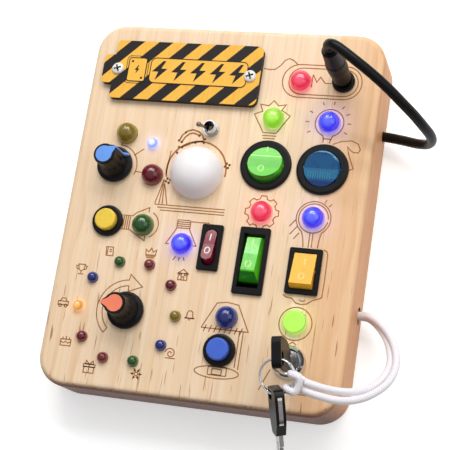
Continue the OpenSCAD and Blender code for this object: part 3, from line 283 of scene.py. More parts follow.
def pine(name):
    """Glued staves of pine: growth rings, fibres, resin canals, end grain, painted shade on the sides and
    foot and the lamps' light painted on them.
    """
    t = Tree(name)
    x, y, z = t.place()
    joint_x = t.math("ADD", x, t.sway(t.noise((0.0, 0.012, 0.01), 2.0, 0.5), 3.0))
    right, middle, left = (t.math("GREATER_THAN", joint_x, at) for at in JOINTS)
    # growth rings are cylinders along Y round a pith under or beside each stave
    pith_x = t.math("ADD", t.math("MULTIPLY_ADD", right, 24.0, -104.0),
                    t.math("ADD", t.math("MULTIPLY", left, 66.0), t.math("MULTIPLY", middle, 44.0)))
    pith_z = t.math("ADD", t.math("MULTIPLY_ADD", right, 26.0, -70.0), t.math("MULTIPLY", left, -60.0))
    dx = t.math("ADD", t.math("SUBTRACT", x, pith_x), t.sway(t.noise((0.02, 0.007, 0.02), 3.0, 0.55), 26.0))
    dz = t.math("SUBTRACT", z, pith_z)
    radius = t.math("SQRT", t.math("ADD", t.math("MULTIPLY", dx, dx), t.math("MULTIPLY", dz, dz)))
    radius = t.math("ADD", radius, t.sway(t.noise((0.08, 0.02, 0.08), 2.0, 0.5), 2.2))
    year = t.math("FRACT", t.math("DIVIDE", radius, RING_GAP))
    late = t.grey(year, (0.0, 0.0), (0.45, 0.1), (0.80, 0.55), (0.93, 1.0), (0.97, 0.75), (1.0, 0.0))
    late = t.math("MULTIPLY", late, t.grey(t.noise((0.03, 0.004, 0.03), 3.0, 0.6), (0.30, 0.12), (0.75, 1.0)))
    fibre = t.noise((1.6, 0.035, 1.6), 4.0, 0.65)
    broad = t.noise((0.35, 0.006, 0.35), 3.0, 0.6)
    base = t.mix(t.grey(broad, (0.32, 0), (0.68, 1)), lin(246, 221, 190), lin(240, 209, 172))
    base = t.stain(base, late, 0.62, (222, 176, 130))
    base = t.stain(base, t.grey(fibre, (0.48, 0), (0.72, 1)), 0.2, (216, 170, 124))
    thin = t.grey(t.noise((0.62, 0.0045, 0.62), 2.0, 0.5, (5, 1, 9)), (0.52, 0), (0.60, 1), (0.68, 0))
    base = t.stain(base, thin, 0.12, (206, 152, 104))
    # short dark resin canals along the grain, more of them low on the board
    canal = t.grey(t.noise((0.85, 0.055, 0.85), 1.0, 0.4, (3, 7, 1)), (0.67, 0), (0.72, 1))
    where = t.grey(t.noise((0.025, 0.018, 0.02), 2.0, 0.5, (11, 2, 4)), (0.36, 0.05), (0.55, 1))
    low = t.grey(t.math("MULTIPLY", y, -0.01), (0.0, 0.25), (0.6, 1.0))
    canal = t.math("MULTIPLY", t.math("MULTIPLY", canal, where), low)
    base = t.stain(base, canal, 0.8, (152, 92, 52))
    # the stave at the right is darker and warmer; the sides are darker too, a painted shade
    base = t.stain(base, right, 0.55, (246, 216, 184), "MULTIPLY")
    _, ny, nz = t.normal()
    base = t.stain(base, t.grey(nz, (0.15, 1.0), (0.85, 0.0)), 0.8, (236, 198, 158), "MULTIPLY")
    # the end grain at the foot is darker, with its rings cut across, and darker still by a painted shade
    foot = t.grey(t.math("MULTIPLY", ny, -1.0), (0.3, 0.0), (0.9, 1.0))
    base = t.stain(base, foot, 0.95, (112, 70, 54), "MULTIPLY")
    slant = t.grey(t.noise((0.5, 1.0, 0.9), 3.0, 0.6, (2, 2, 2)), (0.45, 0), (0.7, 1))
    base = t.stain(base, t.math("MULTIPLY", slant, foot), 0.6, (74, 38, 26))
    # the glued joints show as thin darker lines
    for at in JOINTS:
        near = t.math("ABSOLUTE", t.math("SUBTRACT", joint_x, at))
        base = t.mix(t.grey(near, (0.0, 0.18), (0.0004, 0.18), (0.28, 0.0)), base, lin(150, 105, 66))
    # painted light: each lit lamp's colour is painted on the wood round its foot, as a glow
    flat = t.node("ShaderNodeCombineXYZ", X=x, Y=y, Z=0.0).outputs[0]
    face_up = t.grey(nz, (0.5, 0.0), (0.9, 1.0))
    glow = (0, 0, 0, 1)
    for at, r, rgb in PAINTED_GLOWS:
        far = t.node("ShaderNodeVectorMath", {"operation": "DISTANCE"}, i0=flat, i1=(*at, 0.0))
        share = t.math("DIVIDE", far.outputs["Value"], 4.0 * r)
        fall = t.grey(share, (0.25, 1.0), (0.31, 0.55), (0.42, 0.16), (0.75, 0.0))
        one = t.mix(t.math("MULTIPLY", fall, face_up), (0, 0, 0, 1), lin(*rgb))
        glow = t.mix(1.0, glow, one, "ADD")
    height = t.math("ADD", t.math("MULTIPLY", fibre, 0.6), t.math("MULTIPLY", late, 0.5))
    # the emission carries the lamps' painted glow on the wood
    t.shader(Base_Color=base, Roughness=t.grey(fibre, (0.3, 0.42), (0.75, 0.58)), Specular_IOR_Level=0.3,
             Normal=t.bump(height, 0.00006, 0.3), Emission_Color=glow, Emission_Strength=0.5)
    return t.mat


def plywood(name):
    """The back panel's plain veneer."""
    t = Tree(name)
    fibre = t.noise((0.9, 0.03, 0.9), 4.0, 0.6)
    broad = t.noise((0.12, 0.01, 0.12), 3.0, 0.6, distort=0.5)
    col = t.mix(t.grey(broad, (0.3, 0), (0.7, 1)), lin(226, 196, 150), lin(203, 164, 114))
    col = t.stain(col, t.grey(fibre, (0.45, 0), (0.75, 1)), 0.35, (170, 124, 78))
    t.shader(Base_Color=col, Roughness=0.62, Specular_IOR_Level=0.25, Normal=t.bump(fibre, 0.00006, 0.4))
    return t.mat


def burn(name, pale, dark):
    """A laser's scorched line: its brown comes and goes."""
    t = Tree(name)
    col = t.mix(t.grey(t.noise(0.5, 4.0, 0.7), (0.32, 0), (0.68, 1)), lin(*pale), lin(*dark))
    t.shader(Base_Color=col, Roughness=0.8, Specular_IOR_Level=0.15,
             Normal=t.bump(t.noise(3.0, 2.0, 0.6), 0.00003, 0.4))
    return t.mat


# ---------------------------------------------------------------- lenses and lights
def lens(name, deep, bright):
    """A tinted, unlit lamp: clear glossy resin, deeper in the middle and paler at its thin rim, a painted
    sheen, with a faint painted glow.
    """
    t = Tree(name)
    swirl = t.noise(0.25, 2.0, 0.5)
    # painted sheen: the colour turns paler towards the rim as the surface turns from the view
    edge = t.node("ShaderNodeLayerWeight", Blend=0.5).outputs["Facing"]
    col = t.ramp(t.math("ADD", edge, t.sway(swirl, 0.1)),
                 [(0.15, lin(*deep)), (0.75, lin(*bright)), (0.95, lin(*deep))])
    # painted glow: the unlit resin gives off a little light of its own colour
    t.shader(Base_Color=col, Roughness=0.5, Specular_IOR_Level=0.15, Coat_Weight=1.0, Coat_Roughness=0.02,
             Coat_IOR=1.6, Normal=t.bump(swirl, 0.00002, 0.1), Emission_Color=col, Emission_Strength=0.22)
    return t.mat


def light(name, rim, core, power):
    """A lit lamp: its resin glows, more at its foot ring and crown than between them."""
    t = Tree(name)
    v = t.math("ADD", t.normal()[2], t.sway(t.noise(0.3, 2.0, 0.5), 0.15))
    pale = tuple(0.55 * c + 0.45 * 255 for c in rim)
    col = t.ramp(v, [(0.0, lin(*pale)), (0.16, lin(*rim)), (0.6, lin(*rim)), (1.0, lin(*core))])
    t.shader(Base_Color=t.mix(0.7, col, (0.01, 0.01, 0.01, 1)), Roughness=0.3, Specular_IOR_Level=0.3,
             Coat_Weight=1.0, Coat_Roughness=0.02, Coat_IOR=1.6, Emission_Color=col, Emission_Strength=power)
    return t.mat


# ---------------------------------------------------------------- sign and cord
STRIPE = 14.25                                  # mm of x - y from one black stripe to the next
STRIPE_START = -217.25                          # x - y where one starts
BRAID_ROUND = 8                                 # strands of the white cord, counted round it


def sign_material(name):
    """Diagonal hazard stripes on a thin wooden plate with burnt edges."""
    t = Tree(name)
    x, y, _ = t.place()
    along = t.math("ADD", t.math("SUBTRACT", x, y), t.sway(t.noise(0.9, 2.0, 0.5), 0.25))
    share = t.math("FRACT", t.math("DIVIDE", t.math("SUBTRACT", along, STRIPE_START), STRIPE))
    stripe = t.grey(share, (0.0, 1), (0.485, 1), (0.495, 0), (0.992, 0), (1.0, 1))
    grain = t.noise((1.2, 0.12, 1.2), 3.0, 0.6)
    figure = t.grey(grain, (0.35, 0), (0.7, 1))
    yellow = t.mix(figure, lin(247, 190, 76), lin(238, 176, 62))
    black = t.mix(figure, lin(24, 17, 18), lin(34, 25, 26))
    burnt = t.mix(t.noise((0.4, 0.4, 3.0), 3.0, 0.6), lin(26, 16, 15), lin(58, 36, 28))
    col = t.mix(t.grey(t.normal()[2], (0.3, 0), (0.6, 1)), burnt, t.mix(stripe, yellow, black))
    t.shader(Base_Color=col, Roughness=t.grey(grain, (0.3, 0.42), (0.7, 0.55)), Specular_IOR_Level=0.22,
             Normal=t.bump(grain, 0.00003, 0.3))
    return t.mat


def cloth_cord(name):
    """White braided cord: fine strands cross along it, with painted shade in the hollows between them."""
    t = Tree(name)
    across, along, _ = t.axes("ShaderNodeTexCoord", "UV")
    u = t.math("MULTIPLY", across, 2 * math.pi * BRAID_ROUND)
    v = t.math("MULTIPLY", along, 2 * math.pi * 0.85 / MM)
    braid = t.math("MAXIMUM", t.math("SINE", t.math("ADD", u, v)), t.math("SINE", t.math("SUBTRACT", u, v)))
    height = t.math("MULTIPLY_ADD", braid, 0.5, t.math("MULTIPLY", t.noise(2.5, 3.0, 0.7), 0.5))
    # painted shade: the hollows between the strands are darker, the crossing strands paler
    col = t.mix(t.grey(braid, (0.0, 0), (0.9, 1)), lin(228, 221, 227), lin(250, 247, 250))
    t.shader(Base_Color=col, Roughness=0.75, Specular_IOR_Level=0.25, Sheen_Weight=0.25,
             Normal=t.bump(height, 0.00012, 0.5))
    return t.mat


# ---------------------------------------------------------------- materials
MAT = {}


def look(maker, name, *values, **more):
    """Make a material and keep it under its name."""
    MAT[name] = maker(name, *values, **more)


look(pine, "pine")
look(plywood, "plywood")
look(sign_material, "sign_laminate")
look(cloth_cord, "white_cord")
look(burn, "scorch", (186, 132, 84), (136, 84, 46))
look(burn, "scorch_dark", (140, 84, 42), (92, 50, 24))
look(metal, "steel_screws", (170, 170, 172), 0.35)
look(metal, "nickel", (205, 203, 198), 0.22)
look(metal, "chrome", (232, 232, 236), 0.1, scratch=0.1, dirt=0.1, pits=0.1)
look(metal, "lever_steel", (150, 140, 130), 0.24, scratch=0.2, dirt=0.3, pits=0.3)
look(plastic, "white_screws", (240, 238, 234), 0.3, coat=0.4)
look(plastic, "black_shell", (17, 14, 16), 0.36, grain=0.4, vary=0.15, spec=0.2, worn=0.06)
look(plastic, "black_rubber", (12, 10, 12), 0.38, grain=0.35, vary=0.15, spec=0.2, worn=0.05)
look(plastic, "cell_wrap", (50, 120, 80), 0.3)
look(plastic, "board_laminate", (25, 92, 52), 0.4)
look(plastic, "blue_cap", (100, 154, 236), 0.45, sss=0.1)
look(plastic, "orange_cap", (250, 132, 98), 0.45, sss=0.1)
# the white dome is no lamp; its glow is painted
look(plastic, "white_diffuser", (246, 239, 240), 0.32, sss=0.3, vary=0.02, worn=0.0, glow=0.05)
look(plastic, "yellow_plastic", (250, 182, 46), 0.36, spec=0.3, sss=0.1)
look(plastic, "yellow_button", (236, 200, 66), 0.4, sss=0.1)
look(plastic, "red_plastic", (128, 12, 42), 0.3, coat=0.12, spec=0.25, sss=0.1, vary=0.12)
look(plastic, "blue_plastic", (66, 104, 210), 0.38, sss=0.1)
look(plastic, "mark", (238, 236, 228), 0.5, vary=0.03)
look(plastic, "mark_yellow", (255, 216, 130), 0.4, vary=0.03)
look(plastic, "mark_blue", (64, 134, 160), 0.4, vary=0.1)
look(plastic, "mark_green", (196, 240, 150), 0.35, vary=0.03)
look(plastic, "sign_yellow", (247, 188, 74), 0.45, vary=0.05, spec=0.22)
look(plastic, "sign_dark", (26, 18, 19), 0.45, vary=0.1, spec=0.22)
# the rockers' bands are painted highlights and painted shade
look(translucent, "green_plastic", (84, 196, 30), (168, 236, 120), (38, 128, 14),
     ((25.7, 26.4, 0.25, (206, 250, 176), 0.8), (26.6, 33, 0.3, (124, 214, 84), 0.55),
      (19.6, 24.6, 0.8, (70, 166, 34), 0.5)))
look(translucent, "blue_translucent", (24, 84, 132), (110, 182, 226), (12, 40, 96),
     ((28.6, 34, 0.3, (104, 178, 222), 0.75), (27.6, 28.5, 0.2, (20, 60, 104), 0.6),
      (17.4, 21.8, 0.4, (48, 124, 158), 0.6), (8, 16.6, 0.5, (14, 46, 104), 0.8)))
look(lens, "olive_lens", (112, 92, 8), (142, 124, 40))
look(lens, "dark_green_lens", (22, 66, 14), (52, 100, 34))
look(lens, "navy_lens", (14, 26, 96), (40, 62, 140))
look(lens, "dark_red_lens", (84, 2, 20), (124, 24, 44))
look(lens, "brown_red_lens", (96, 22, 26), (140, 62, 56))
look(light, "blue_light", (46, 36, 232), (92, 104, 255), 0.9)
look(light, "pink_light", (232, 34, 74), (244, 84, 112), 0.85)
look(light, "green_light", (132, 206, 28), (180, 244, 84), 0.85)
look(light, "amber_light", (232, 152, 62), (252, 196, 112), 0.8)
look(light, "white_light", (140, 160, 240), (236, 244, 255), 1.0)

# two nodes look unlike the rest of their slot
own_look = {"yellow_button_cap": "yellow_button", "toggle_lever": "lever_steel"}
for part in frame["record"]["subparts"]:
    mesh = NODE[part["node"]].data
    mesh.materials.clear()
    mesh.materials.append(MAT[own_look.get(part["node"], part["material_slot"])])


# ---------------------------------------------------------------- mesh helpers, all in millimetres
def metres(p):
    """A point in metres."""
    return tuple(c * MM for c in p)


def placed(name, verts, faces, mat, smooth):
    """An object in the scene for a new mesh."""
    me = bpy.data.meshes.new(name)
    me.from_pydata([metres(v) for v in verts], [], faces)
    me.update()
    for p in me.polygons:
        p.use_smooth = smooth
    me.materials.append(mat)
    ob = bpy.data.objects.new(name, me)
    scene.collection.objects.link(ob)
    return ob


def piece(name, verts, faces, body, mat, slot, smooth_below=None):
    """A piece that rides a body. Its edges under smooth_below degrees are shaded smooth."""
    ob = placed(name, verts, faces, mat, smooth_below is not None)
    ob.data.validate()
    bm = bmesh.new()
    bm.from_mesh(ob.data)
    bmesh.ops.recalc_face_normals(bm, faces=bm.faces)
    if smooth_below is not None:
        for e in bm.edges:
            e.smooth = not (len(e.link_faces) == 2 and e.calc_face_angle(0) > math.radians(smooth_below))
    bm.to_mesh(ob.data)
    bm.free()
    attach(ob, body)
    return ob


def revolve(profile, at, n=48):
    """A profile [(r, z)] turned about the upright line through at, its z from the face."""
    verts, faces, rings = [], [], []
    for r, z in profile:
        count = n if r > 0 else 1
        rings.append(range(len(verts), len(verts) + count))
        verts += [(*turned(r, 360 * k / n, at), FACE + z) for k in range(count)]
    for a, b in zip(rings, rings[1:]):
        for k in range(n):
            j = (k + 1) % n
            if len(a) == 1:
                faces.append((a[0], b[k], b[j]))
            elif len(b) == 1:
                faces.append((a[k], a[j], b[0]))
            else:
                faces.append((a[k], a[j], b[j], b[k]))
    return verts, faces


def joined(parts):
    """Several (vertices, faces) as one."""
    verts, faces = [], []
    for v, f in parts:
        base = len(verts)
        verts += v
        faces += [tuple(i + base for i in q) for q in f]
    return verts, faces


# ---------------------------------------------------------------- cords
def spline(points, steps):
    """The same smooth curve that the CAD's tubes follow."""
    out = []
    n = len(points) - 1
    at = [Vector(p) for p in points]
    for i in range(n):
        a, b, c, d = at[max(i - 1, 0)], at[i], at[i + 1], at[min(i + 2, n)]
        for k in range(steps):
            s = k / steps
            out.append(0.5 * (2 * b + (c - a) * s + (2 * a - 5 * b + 4 * c - d) * s * s
                              + (3 * b - a - 3 * c + d) * s ** 3))
    out.append(at[n])
    return out


def tube(name, path, radius, sides, mat, swell=None):
    """A tube swept along path, and its length. swell(u, v) moves its skin out, u round it and v along it."""
    first = (path[1] - path[0]).normalized()
    ref = first.cross(Vector((0.3, 0.2, 1))).normalized()
    verts, lengths = [], []
    run = 0.0
    n = len(path)
    for i, at in enumerate(path):
        t = (path[min(i + 1, n - 1)] - path[max(i - 1, 0)]).normalized()
        ref = (ref - t * ref.dot(t)).normalized()
        side = t.cross(ref)
        run += (at - path[max(i - 1, 0)]).length
        lengths.append(run)
        for k in range(sides):
            r = radius + (swell(k / sides, run) if swell else 0.0)
            c, s = turned(r, 360 * k / sides)
            verts.append(at + ref * c + side * s)
    faces, uvs = [], []
    for i, (v0, v1) in enumerate(zip(lengths, lengths[1:])):
        for k in range(sides):
            j = (k + 1) % sides
            u0, u1 = k / sides, (k + 1) / sides
            faces.append((i * sides + k, i * sides + j, (i + 1) * sides + j, (i + 1) * sides + k))
            uvs += [(u0, v0), (u1, v0), (u1, v1), (u0, v1)]
    faces += [tuple(range(sides - 1, -1, -1)), tuple(range((n - 1) * sides, n * sides))]
    uvs += [(0, 0)] * (2 * sides)
    ob = placed(name, verts, faces, mat, True)
    layer = ob.data.uv_layers.new(name="along")
    for corner, (u, v) in zip(layer.data, uvs):
        corner.uv = (u, v * MM)
    return ob, run


LEAD_D, CORD_D = 4.6, 3.4
STRAND_R = CORD_D / 2 - 0.06                    # the braid stands out from the tube
KNOT_R = CORD_D / 2 - 0.15                      # and is pulled tight in the knot
BRAID_STEP = 1.7                                # mm along the cord from strand to strand
BRAID_DEPTH = 0.07


def weave(u, v):
    """How far the white cord's crossing strands stand out from its tube."""
    a = math.sin(2 * math.pi * (BRAID_ROUND * u + v / BRAID_STEP))
    b = math.sin(2 * math.pi * (BRAID_ROUND * u - v / BRAID_STEP))
    return BRAID_DEPTH * (max(a, b) - 0.6)


# the routes repeat those of part.scad
LEAD_ROUTE = [
    [51.4, 67.8, 57], [51.3, 68, 60.2], [52.9, 67.6, 63.6], [56.8, 65.6, 65.4], [63.8, 61.1, 64.4],
    [71.7, 56.2, 61.2], [79, 51.5, 56.4], [84.8, 47.5, 50.8], [89.6, 44.4, 44.8], [93.7, 41.6, 37.8],
    [96, 40.3, 30.8], [96, 39.8, 24.3], [93.4, 40.2, 18.5], [88.3, 41.7, 14], [82, 43.8, 10.6],
    [76, 45.5, 8], [71, 46.3, 7], [64, 46.3, 7]]
CORD_ROUTES = (
    [[64, -39.4, 6.4], [71, -39.4, 6.4], [76, -40.2, 7.6], [81, -44, 10.6], [85.6, -49.6, 15],
     [88.8, -56, 20.6], [90.2, -63, 26.6], [88.8, -69.6, 32.4], [84.6, -74.8, 37.2], [78.6, -77.8, 41],
     [72, -78.6, 43.8], [65.2, -78.1, 45.7], [58.9, -76.8, 46.8]],
    [[64, -39.4, 10.2], [71, -39.4, 10.2], [76, -39.6, 11.6], [81.6, -42.6, 14.2], [87, -48, 18],
     [91.2, -55, 23], [93.2, -63, 28.6], [91.8, -70.8, 34], [87, -77, 38.4], [80.4, -81, 41.6],
     [72.8, -82.4, 43.6], [65, -81.6, 45.1], [58.1, -80.1, 45.7]])

lead_path = spline(LEAD_ROUTE, 8)
lead, lead_length = tube("lead", lead_path, LEAD_D / 2, 20, MAT["black_rubber"])
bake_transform(lead)
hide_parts("power_lead")

# ---------------------------------------------------------------- knot on the split ring
KEY_BASE, KEY_HEAD = 7.0, 20.5                  # the key's head: its foot over the face, and its length
HOLE_IN = 3.4                                   # from the ring's hole to the end of the head
KEY_TURN, HOLE_OFF = 9, 2.6                     # degrees about the lock, and the hole off the head's middle
HOLE = (*turned(HOLE_OFF, KEY_TURN - 90, LOCK), FACE + KEY_BASE + KEY_HEAD - HOLE_IN)
RING_R, RING_TURN, RING_SLOPE, KNOT_TURN = 7.5, 3, 18, -16
# half of the hitch, x out from the ring's wire, y along it, z over it
HALF_KNOT = [(3.4, 1.75, -0.5), (1.7, 2.1, -2.0), (0.1, 2.6, -2.5), (-1.7, 2.9, -1.9), (-2.5, 3.1, 0),
             (-1.9, 3.3, 1.8), (0, 3.4, 2.6), (1.6, 3.1, 2.7), (2.4, 1.6, 2.5)]
KNOT_MIDDLE = (2.5, 0, 2.45)


def ring_frame():
    """Frame of the split ring, its x out through the knot's middle, z through the ring."""
    turn, slope, round_it = (Matrix.Rotation(math.radians(angle), 4, axis)
                             for angle, axis in ((RING_TURN, "Z"), (RING_SLOPE, "X"), (KNOT_TURN, "Z")))
    return Matrix.Translation(HOLE) @ turn @ slope @ Matrix.Translation((0, -RING_R, 0)) @ round_it


whole_knot = HALF_KNOT + [KNOT_MIDDLE] + [(x, -y, z) for x, y, z in reversed(HALF_KNOT)]
knot_path = [ring_frame() @ Vector((RING_R + x, y, z)) for x, y, z in whole_knot]
ends = sorted((Vector(route[-1]) for route in CORD_ROUTES), key=lambda end: (knot_path[0] - end).length)
knot_path = [ends[0]] + knot_path[1:-1] + [ends[1]]
knot, _ = tube("cord_knot", spline(knot_path, 7), KNOT_R, 24, MAT["white_cord"], weave)
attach(knot, "key_ring")
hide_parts("lanyard_knot")

hung = [knot] + [NODE[n] for n in ("split_ring", "spare_key_blade", "spare_key_head")]
for name, route, on_it in zip(("cord_strand_1", "cord_strand_2"), CORD_ROUTES, (hung, [])):
    path = spline(route, 14)
    strand, length = tube(name, path, STRAND_R, 24, MAT["white_cord"], weave)
    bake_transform(strand)
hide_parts("lanyard")


# ---------------------------------------------------------------- lamps
def lamp(d, rise, foot, sides):
    """A diode's lens: a straight wall up to rise, a half-sphere on it and a collar below the face."""
    r = d / 2
    wall = [(r, rise * k / 3) for k in range(4)]
    crown = [turned(r, a, (0, rise)) for a in range(5, 90, 5)]
    collar = [(0, foot - 1), (r + 0.8, foot - 1), (r + 0.8, foot), (r, foot)]
    return lambda at: revolve(collar + wall + crown + [(0, rise + r)], at, sides)


def flat_lamp(at, r=5.3, rise=2.2, edge=0.8):
    """The lock's lamp: a low drum with a rounded edge."""
    profile = [(0, -7), (r + 0.8, -7), (r + 0.8, -6), (r, -6), (r, 0), (r, rise)]
    profile += [turned(edge, a, (r - edge, rise)) for a in range(15, 91, 15)]
    return revolve(profile + [(3.5, rise + edge), (0, rise + edge)], at, 48)


def lamp_set(name, node, parts, mat, slot=None):
    """Lamps of one colour as one piece, instead of a node where it has one."""
    ob = piece(name, *joined(parts), "board", MAT[mat], slot or mat, 50)
    if node:
        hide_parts(node)


big = lamp(10.0, 1.2, -6.0, 48)
small = lamp(5.0, 0.9, -4.0, 32)
OLIVE, DARK_GREEN, NAVY, DARK_RED = (-47, 33), (-31.2, -10.9), (15.5, -49.8), (-30.9, 13.5)
lamp_set("olive_lamps", "lamps_olive", [big(OLIVE), small(dial_lamp(3))], "olive_lens")
lamp_set("dark_green_lamps", "lamps_dark_green",
         [big(DARK_GREEN), small(dial_lamp(0)), small(dial_lamp(5))], "dark_green_lens")
lamp_set("navy_lamps", "lamps_navy", [big(NAVY), small(dial_lamp(4)), small(dial_lamp(9))], "navy_lens")
lamp_set("dark_red_lamps", "lamps_dark_red",
         [big(DARK_RED), small(dial_lamp(2)), small(dial_lamp(7))], "dark_red_lens")
lamp_set("brown_red_lamps", None,
         [small(dial_lamp(1)), small(dial_lamp(6))], "brown_red_lens", "dark_red_lens")
lamp_set("blue_lit_lamps", "lamps_blue_lit", [big(at) for at in BLUE_LIT], "blue_light")
lamp_set("pink_lit_lamps", "lamps_pink_lit", [big(at) for at in PINK_LIT], "pink_light")
lamp_set("green_lit_lamps", "lamps_green_lit", [big(GREEN_LIT), flat_lamp(FLAT_LIT)], "green_light")
lamp_set("amber_lit_lamp", "lamp_amber_lit", [small(dial_lamp(8))], "amber_light")
lamp_set("white_lit_lamp", "lamp_white_lit", [small(WHITE_LIT)], "white_light")


# ---------------------------------------------------------------- outlines
def ribbon(pts, width, top=0.0, sink=0.06, closed=False):
    """A thin strip along pts: (x, y) at height top, or (x, y, z)."""
    line = [Vector((q[0], q[1], q[2] if len(q) > 2 else top)) for q in pts]
    n = len(line)
    verts, faces = [], []
    for i, at in enumerate(line):
        a = line[i - 1] if (i or closed) else at
        b = line[(i + 1) % n] if (i < n - 1 or closed) else at
        d1 = (at - a).to_2d()
        d2 = (b - at).to_2d()
        d1 = d1.normalized() if d1.length > 1e-9 else d2.normalized()
        d2 = d2.normalized() if d2.length > 1e-9 else d1
        m = d1 + d2
        m = m.normalized() if m.length > 1e-6 else d1
        side = Vector((-m.y, m.x))
        half = width / 2 / max(0.45, side.dot(Vector((-d1.y, d1.x))))
        for sign, z in ((1, 0), (-1, 0), (-1, -sink), (1, -sink)):
            verts.append((at.x + side.x * half * sign, at.y + side.y * half * sign, at.z + z))
    for i in range(n if closed else n - 1):
        a, b = 4 * i, 4 * ((i + 1) % n)
        faces += [(a + k, a + (k + 1) % 4, b + (k + 1) % 4, b + k) for k in range(4)]
    if not closed:
        faces.append((0, 1, 2, 3))
        faces.append((4 * n - 1, 4 * n - 2, 4 * n - 3, 4 * n - 4))
    return verts, faces


def arc(c, r, a0, a1, step=8.0, ry=None):
    """Points on an arc or, with ry, on part of an ellipse."""
    n = max(2, int(abs(a1 - a0) / step) + 1)
    spots = [turned(1, a0 + (a1 - a0) * k / n) for k in range(n + 1)]
    return [(c[0] + r * x, c[1] + (ry or r) * y) for x, y in spots]


def ring(c, r, ry=None, step=10.0):
    """A circle or, with ry, an ellipse."""
    return arc(c, r, 0, 360, step, ry)[:-1]


def rounded_box(x0, y0, x1, y1, r):
    """A box's outline with corners of radius r."""
    corners = ((x1 - r, y0 + r), (x1 - r, y1 - r), (x0 + r, y1 - r), (x0 + r, y0 + r))
    out = []
    for k, c in enumerate(corners):
        out += arc(c, r, 90 * k - 90, 90 * k, 15.0)
    return out


def flat_plate(pts, z0, z1):
    """A flat plate with outline pts between two heights."""
    n = len(pts)
    verts = [(*q, z1) for q in pts] + [(*q, z0) for q in pts]
    faces = [tuple(range(n)), tuple(range(2 * n - 1, n - 1, -1))]
    faces += [(i, (i + 1) % n, n + (i + 1) % n, n + i) for i in range(n)]
    return verts, faces


# ---------------------------------------------------------------- drawings burnt into the face
LINE_TOP = FACE + 0.03
LINE_W, BOLD_W = 0.52, 0.8
# strokes, closed outlines and dots, as points on the face in mm
open_lines, shut_lines, dots = [], [], []

# blue knob: dial arc and its leads to the lamps
open_lines += [arc(BLUE_KNOB, 10.4, 84, -22), [(-49, 26.8), (-49, 28.4)], [(-41.9, 22.6), (-37.4, 26.2)],
               [(-39.9, 14.8), (-36.6, 14.5)]]
# bell round the dome: its bold outline and handle, then its stand in thin lines
bold_lines = [arc(DOME, 14.4, -8, 196),
              [(-21, 31), (-19.8, 34.2), (-17.6, 36.4), (-15, 37.2), (-12, 36.4), (-10, 34.8), (-9, 32.5)],
              [(-19.5, 30.8), (-18.2, 33.4), (-16.4, 35.1), (-14.6, 35.6), (-12.4, 35), (-11.2, 34)],
              [(-19, 28.4), (-14, 30.9), (-9, 32)]]
open_lines += [[(-24, 26.2), (-24.6, 14.5)], [(-25, 12), (-27.6, 0)], [(-24.9, 12), (-25.6, 0)],
               [(-24.5, 10), (-24, 0)], [(-24.4, 10), (-21.6, 0)], [(-27.6, -0.3), (6.5, -0.3)],
               [(-26, -1.6), (6.5, -1.6)], [(-24.5, -2.9), (6.5, -2.9)]]
dots += [(-18.3, 35.7), (-21, 31.5), (-19.6, 30.8), (-20.5, 28.2), (-19, 28.2), (-21, 25.4), (-11.4, 34.6),
         (-8.6, 32.9), (-8.8, 31.2), (-12.9, 31)]
for rivet in ((-23, 11.5), (4.3, 20.8)):
    dots += [turned(1.1, 22.9 + 90 * k, rivet) for k in range(4)]
# socket: wavy lead, double outline, zigzag
open_lines += [[(14.5, 69.7), (17.5, 69.3), (20, 69.6), (22.3, 71.6), (24, 74.2), (26, 75.3), (28, 74.5),
                (30.5, 72.4)],
               [(38.4, 67.8), (40.5, 64.2), (42, 66.8), (44.5, 63.9), (47.5, 63.9)],
               [(38.3, 67.8), (38.3, 61.6)]]
shut_lines += [rounded_box(24.2, 56.4, 61.6, 72.6, 7.9), rounded_box(27.3, 57.9, 59.8, 70.9, 6.3)]
# star bulb, green lamp
open_lines += [[(18.6, 38.4), (13.3, 46.9), (17, 48.5), (15.6, 51.9), (19.6, 51.4), (21.8, 54), (24.2, 51.6),
                (27.8, 52.3), (26, 49.5), (30.4, 46.9), (25.2, 38.4)],
               [(18.5, 38.1), (25.2, 38.1)], [(18.5, 36.7), (25.2, 36.7)], [(19, 35.4), (24.7, 35.4)]]
# round bulb with rays, blue lamp, and its curly lead
open_lines += [arc(BLUE_LIT[1], 6.6, -70, 250), [(51.5, 38.5), (50.6, 36.2), (50.4, 35)],
               [(47, 38.5), (47.4, 36.2), (47.3, 35)], [(47, 37), (51, 37)],
               [(52, 34.6), (56, 36.3), (60.5, 36.9), (63.6, 35.6), (65, 33), (64.2, 31.4), (62, 31.4),
                (60.2, 32.6), (59, 33.9), (59.8, 30.8), (61.4, 27), (62.9, 23.6), (60.5, 22.8)]]
open_lines += [[turned(r, a, (48.6, 44.8)) for r in (8.9, 10.6)]
               for a in (-28, 0, 27, 52, 80, 110, 150, 180, 210)]
# gear round the pink lamp
shut_lines.append([turned(r, 45 * k + a, PINK_LIT[1]) for k in range(8)
                   for a, r in ((-15, 6.5), (-9, 7.9), (9, 7.9), (15, 6.5))])
# hanging bulb, blue lamp
open_lines += [arc(BLUE_LIT[2], 7.9, -55, 235), ring(BLUE_LIT[2], 6.8),
               [(52.7, -7.2), (52, -10.5), (51.7, -14.4)], [(43.5, -7.2), (44.6, -10.5), (45.2, -14.4)],
               [(47.5, -7.8), (47.5, -14.4)], [(48.9, -7.8), (48.9, -14.4)], [(37.7, -5.3), (40.1, -2)],
               [(38.3, -9), (41.3, -5)], [(40.3, -11), (42.5, -8)], [(52.3, 6.6), (53.1, 8.2)],
               [(54.4, 5), (55.6, 6.4)]]
# plaque round the yellow rocker
open_lines += [[(54.6, -14.9), (56.2, -15.4), (56.9, -17), (57, -30), (56.8, -36.4), (55.4, -37.2), (53, -38),
                (50.5, -39.9), (48, -40.4), (45.5, -39.9), (43.5, -38), (40.6, -37.6), (39.3, -36.6)],
               [(46.8, -38.4), (48.3, -38.9), (49.7, -38.4)]]
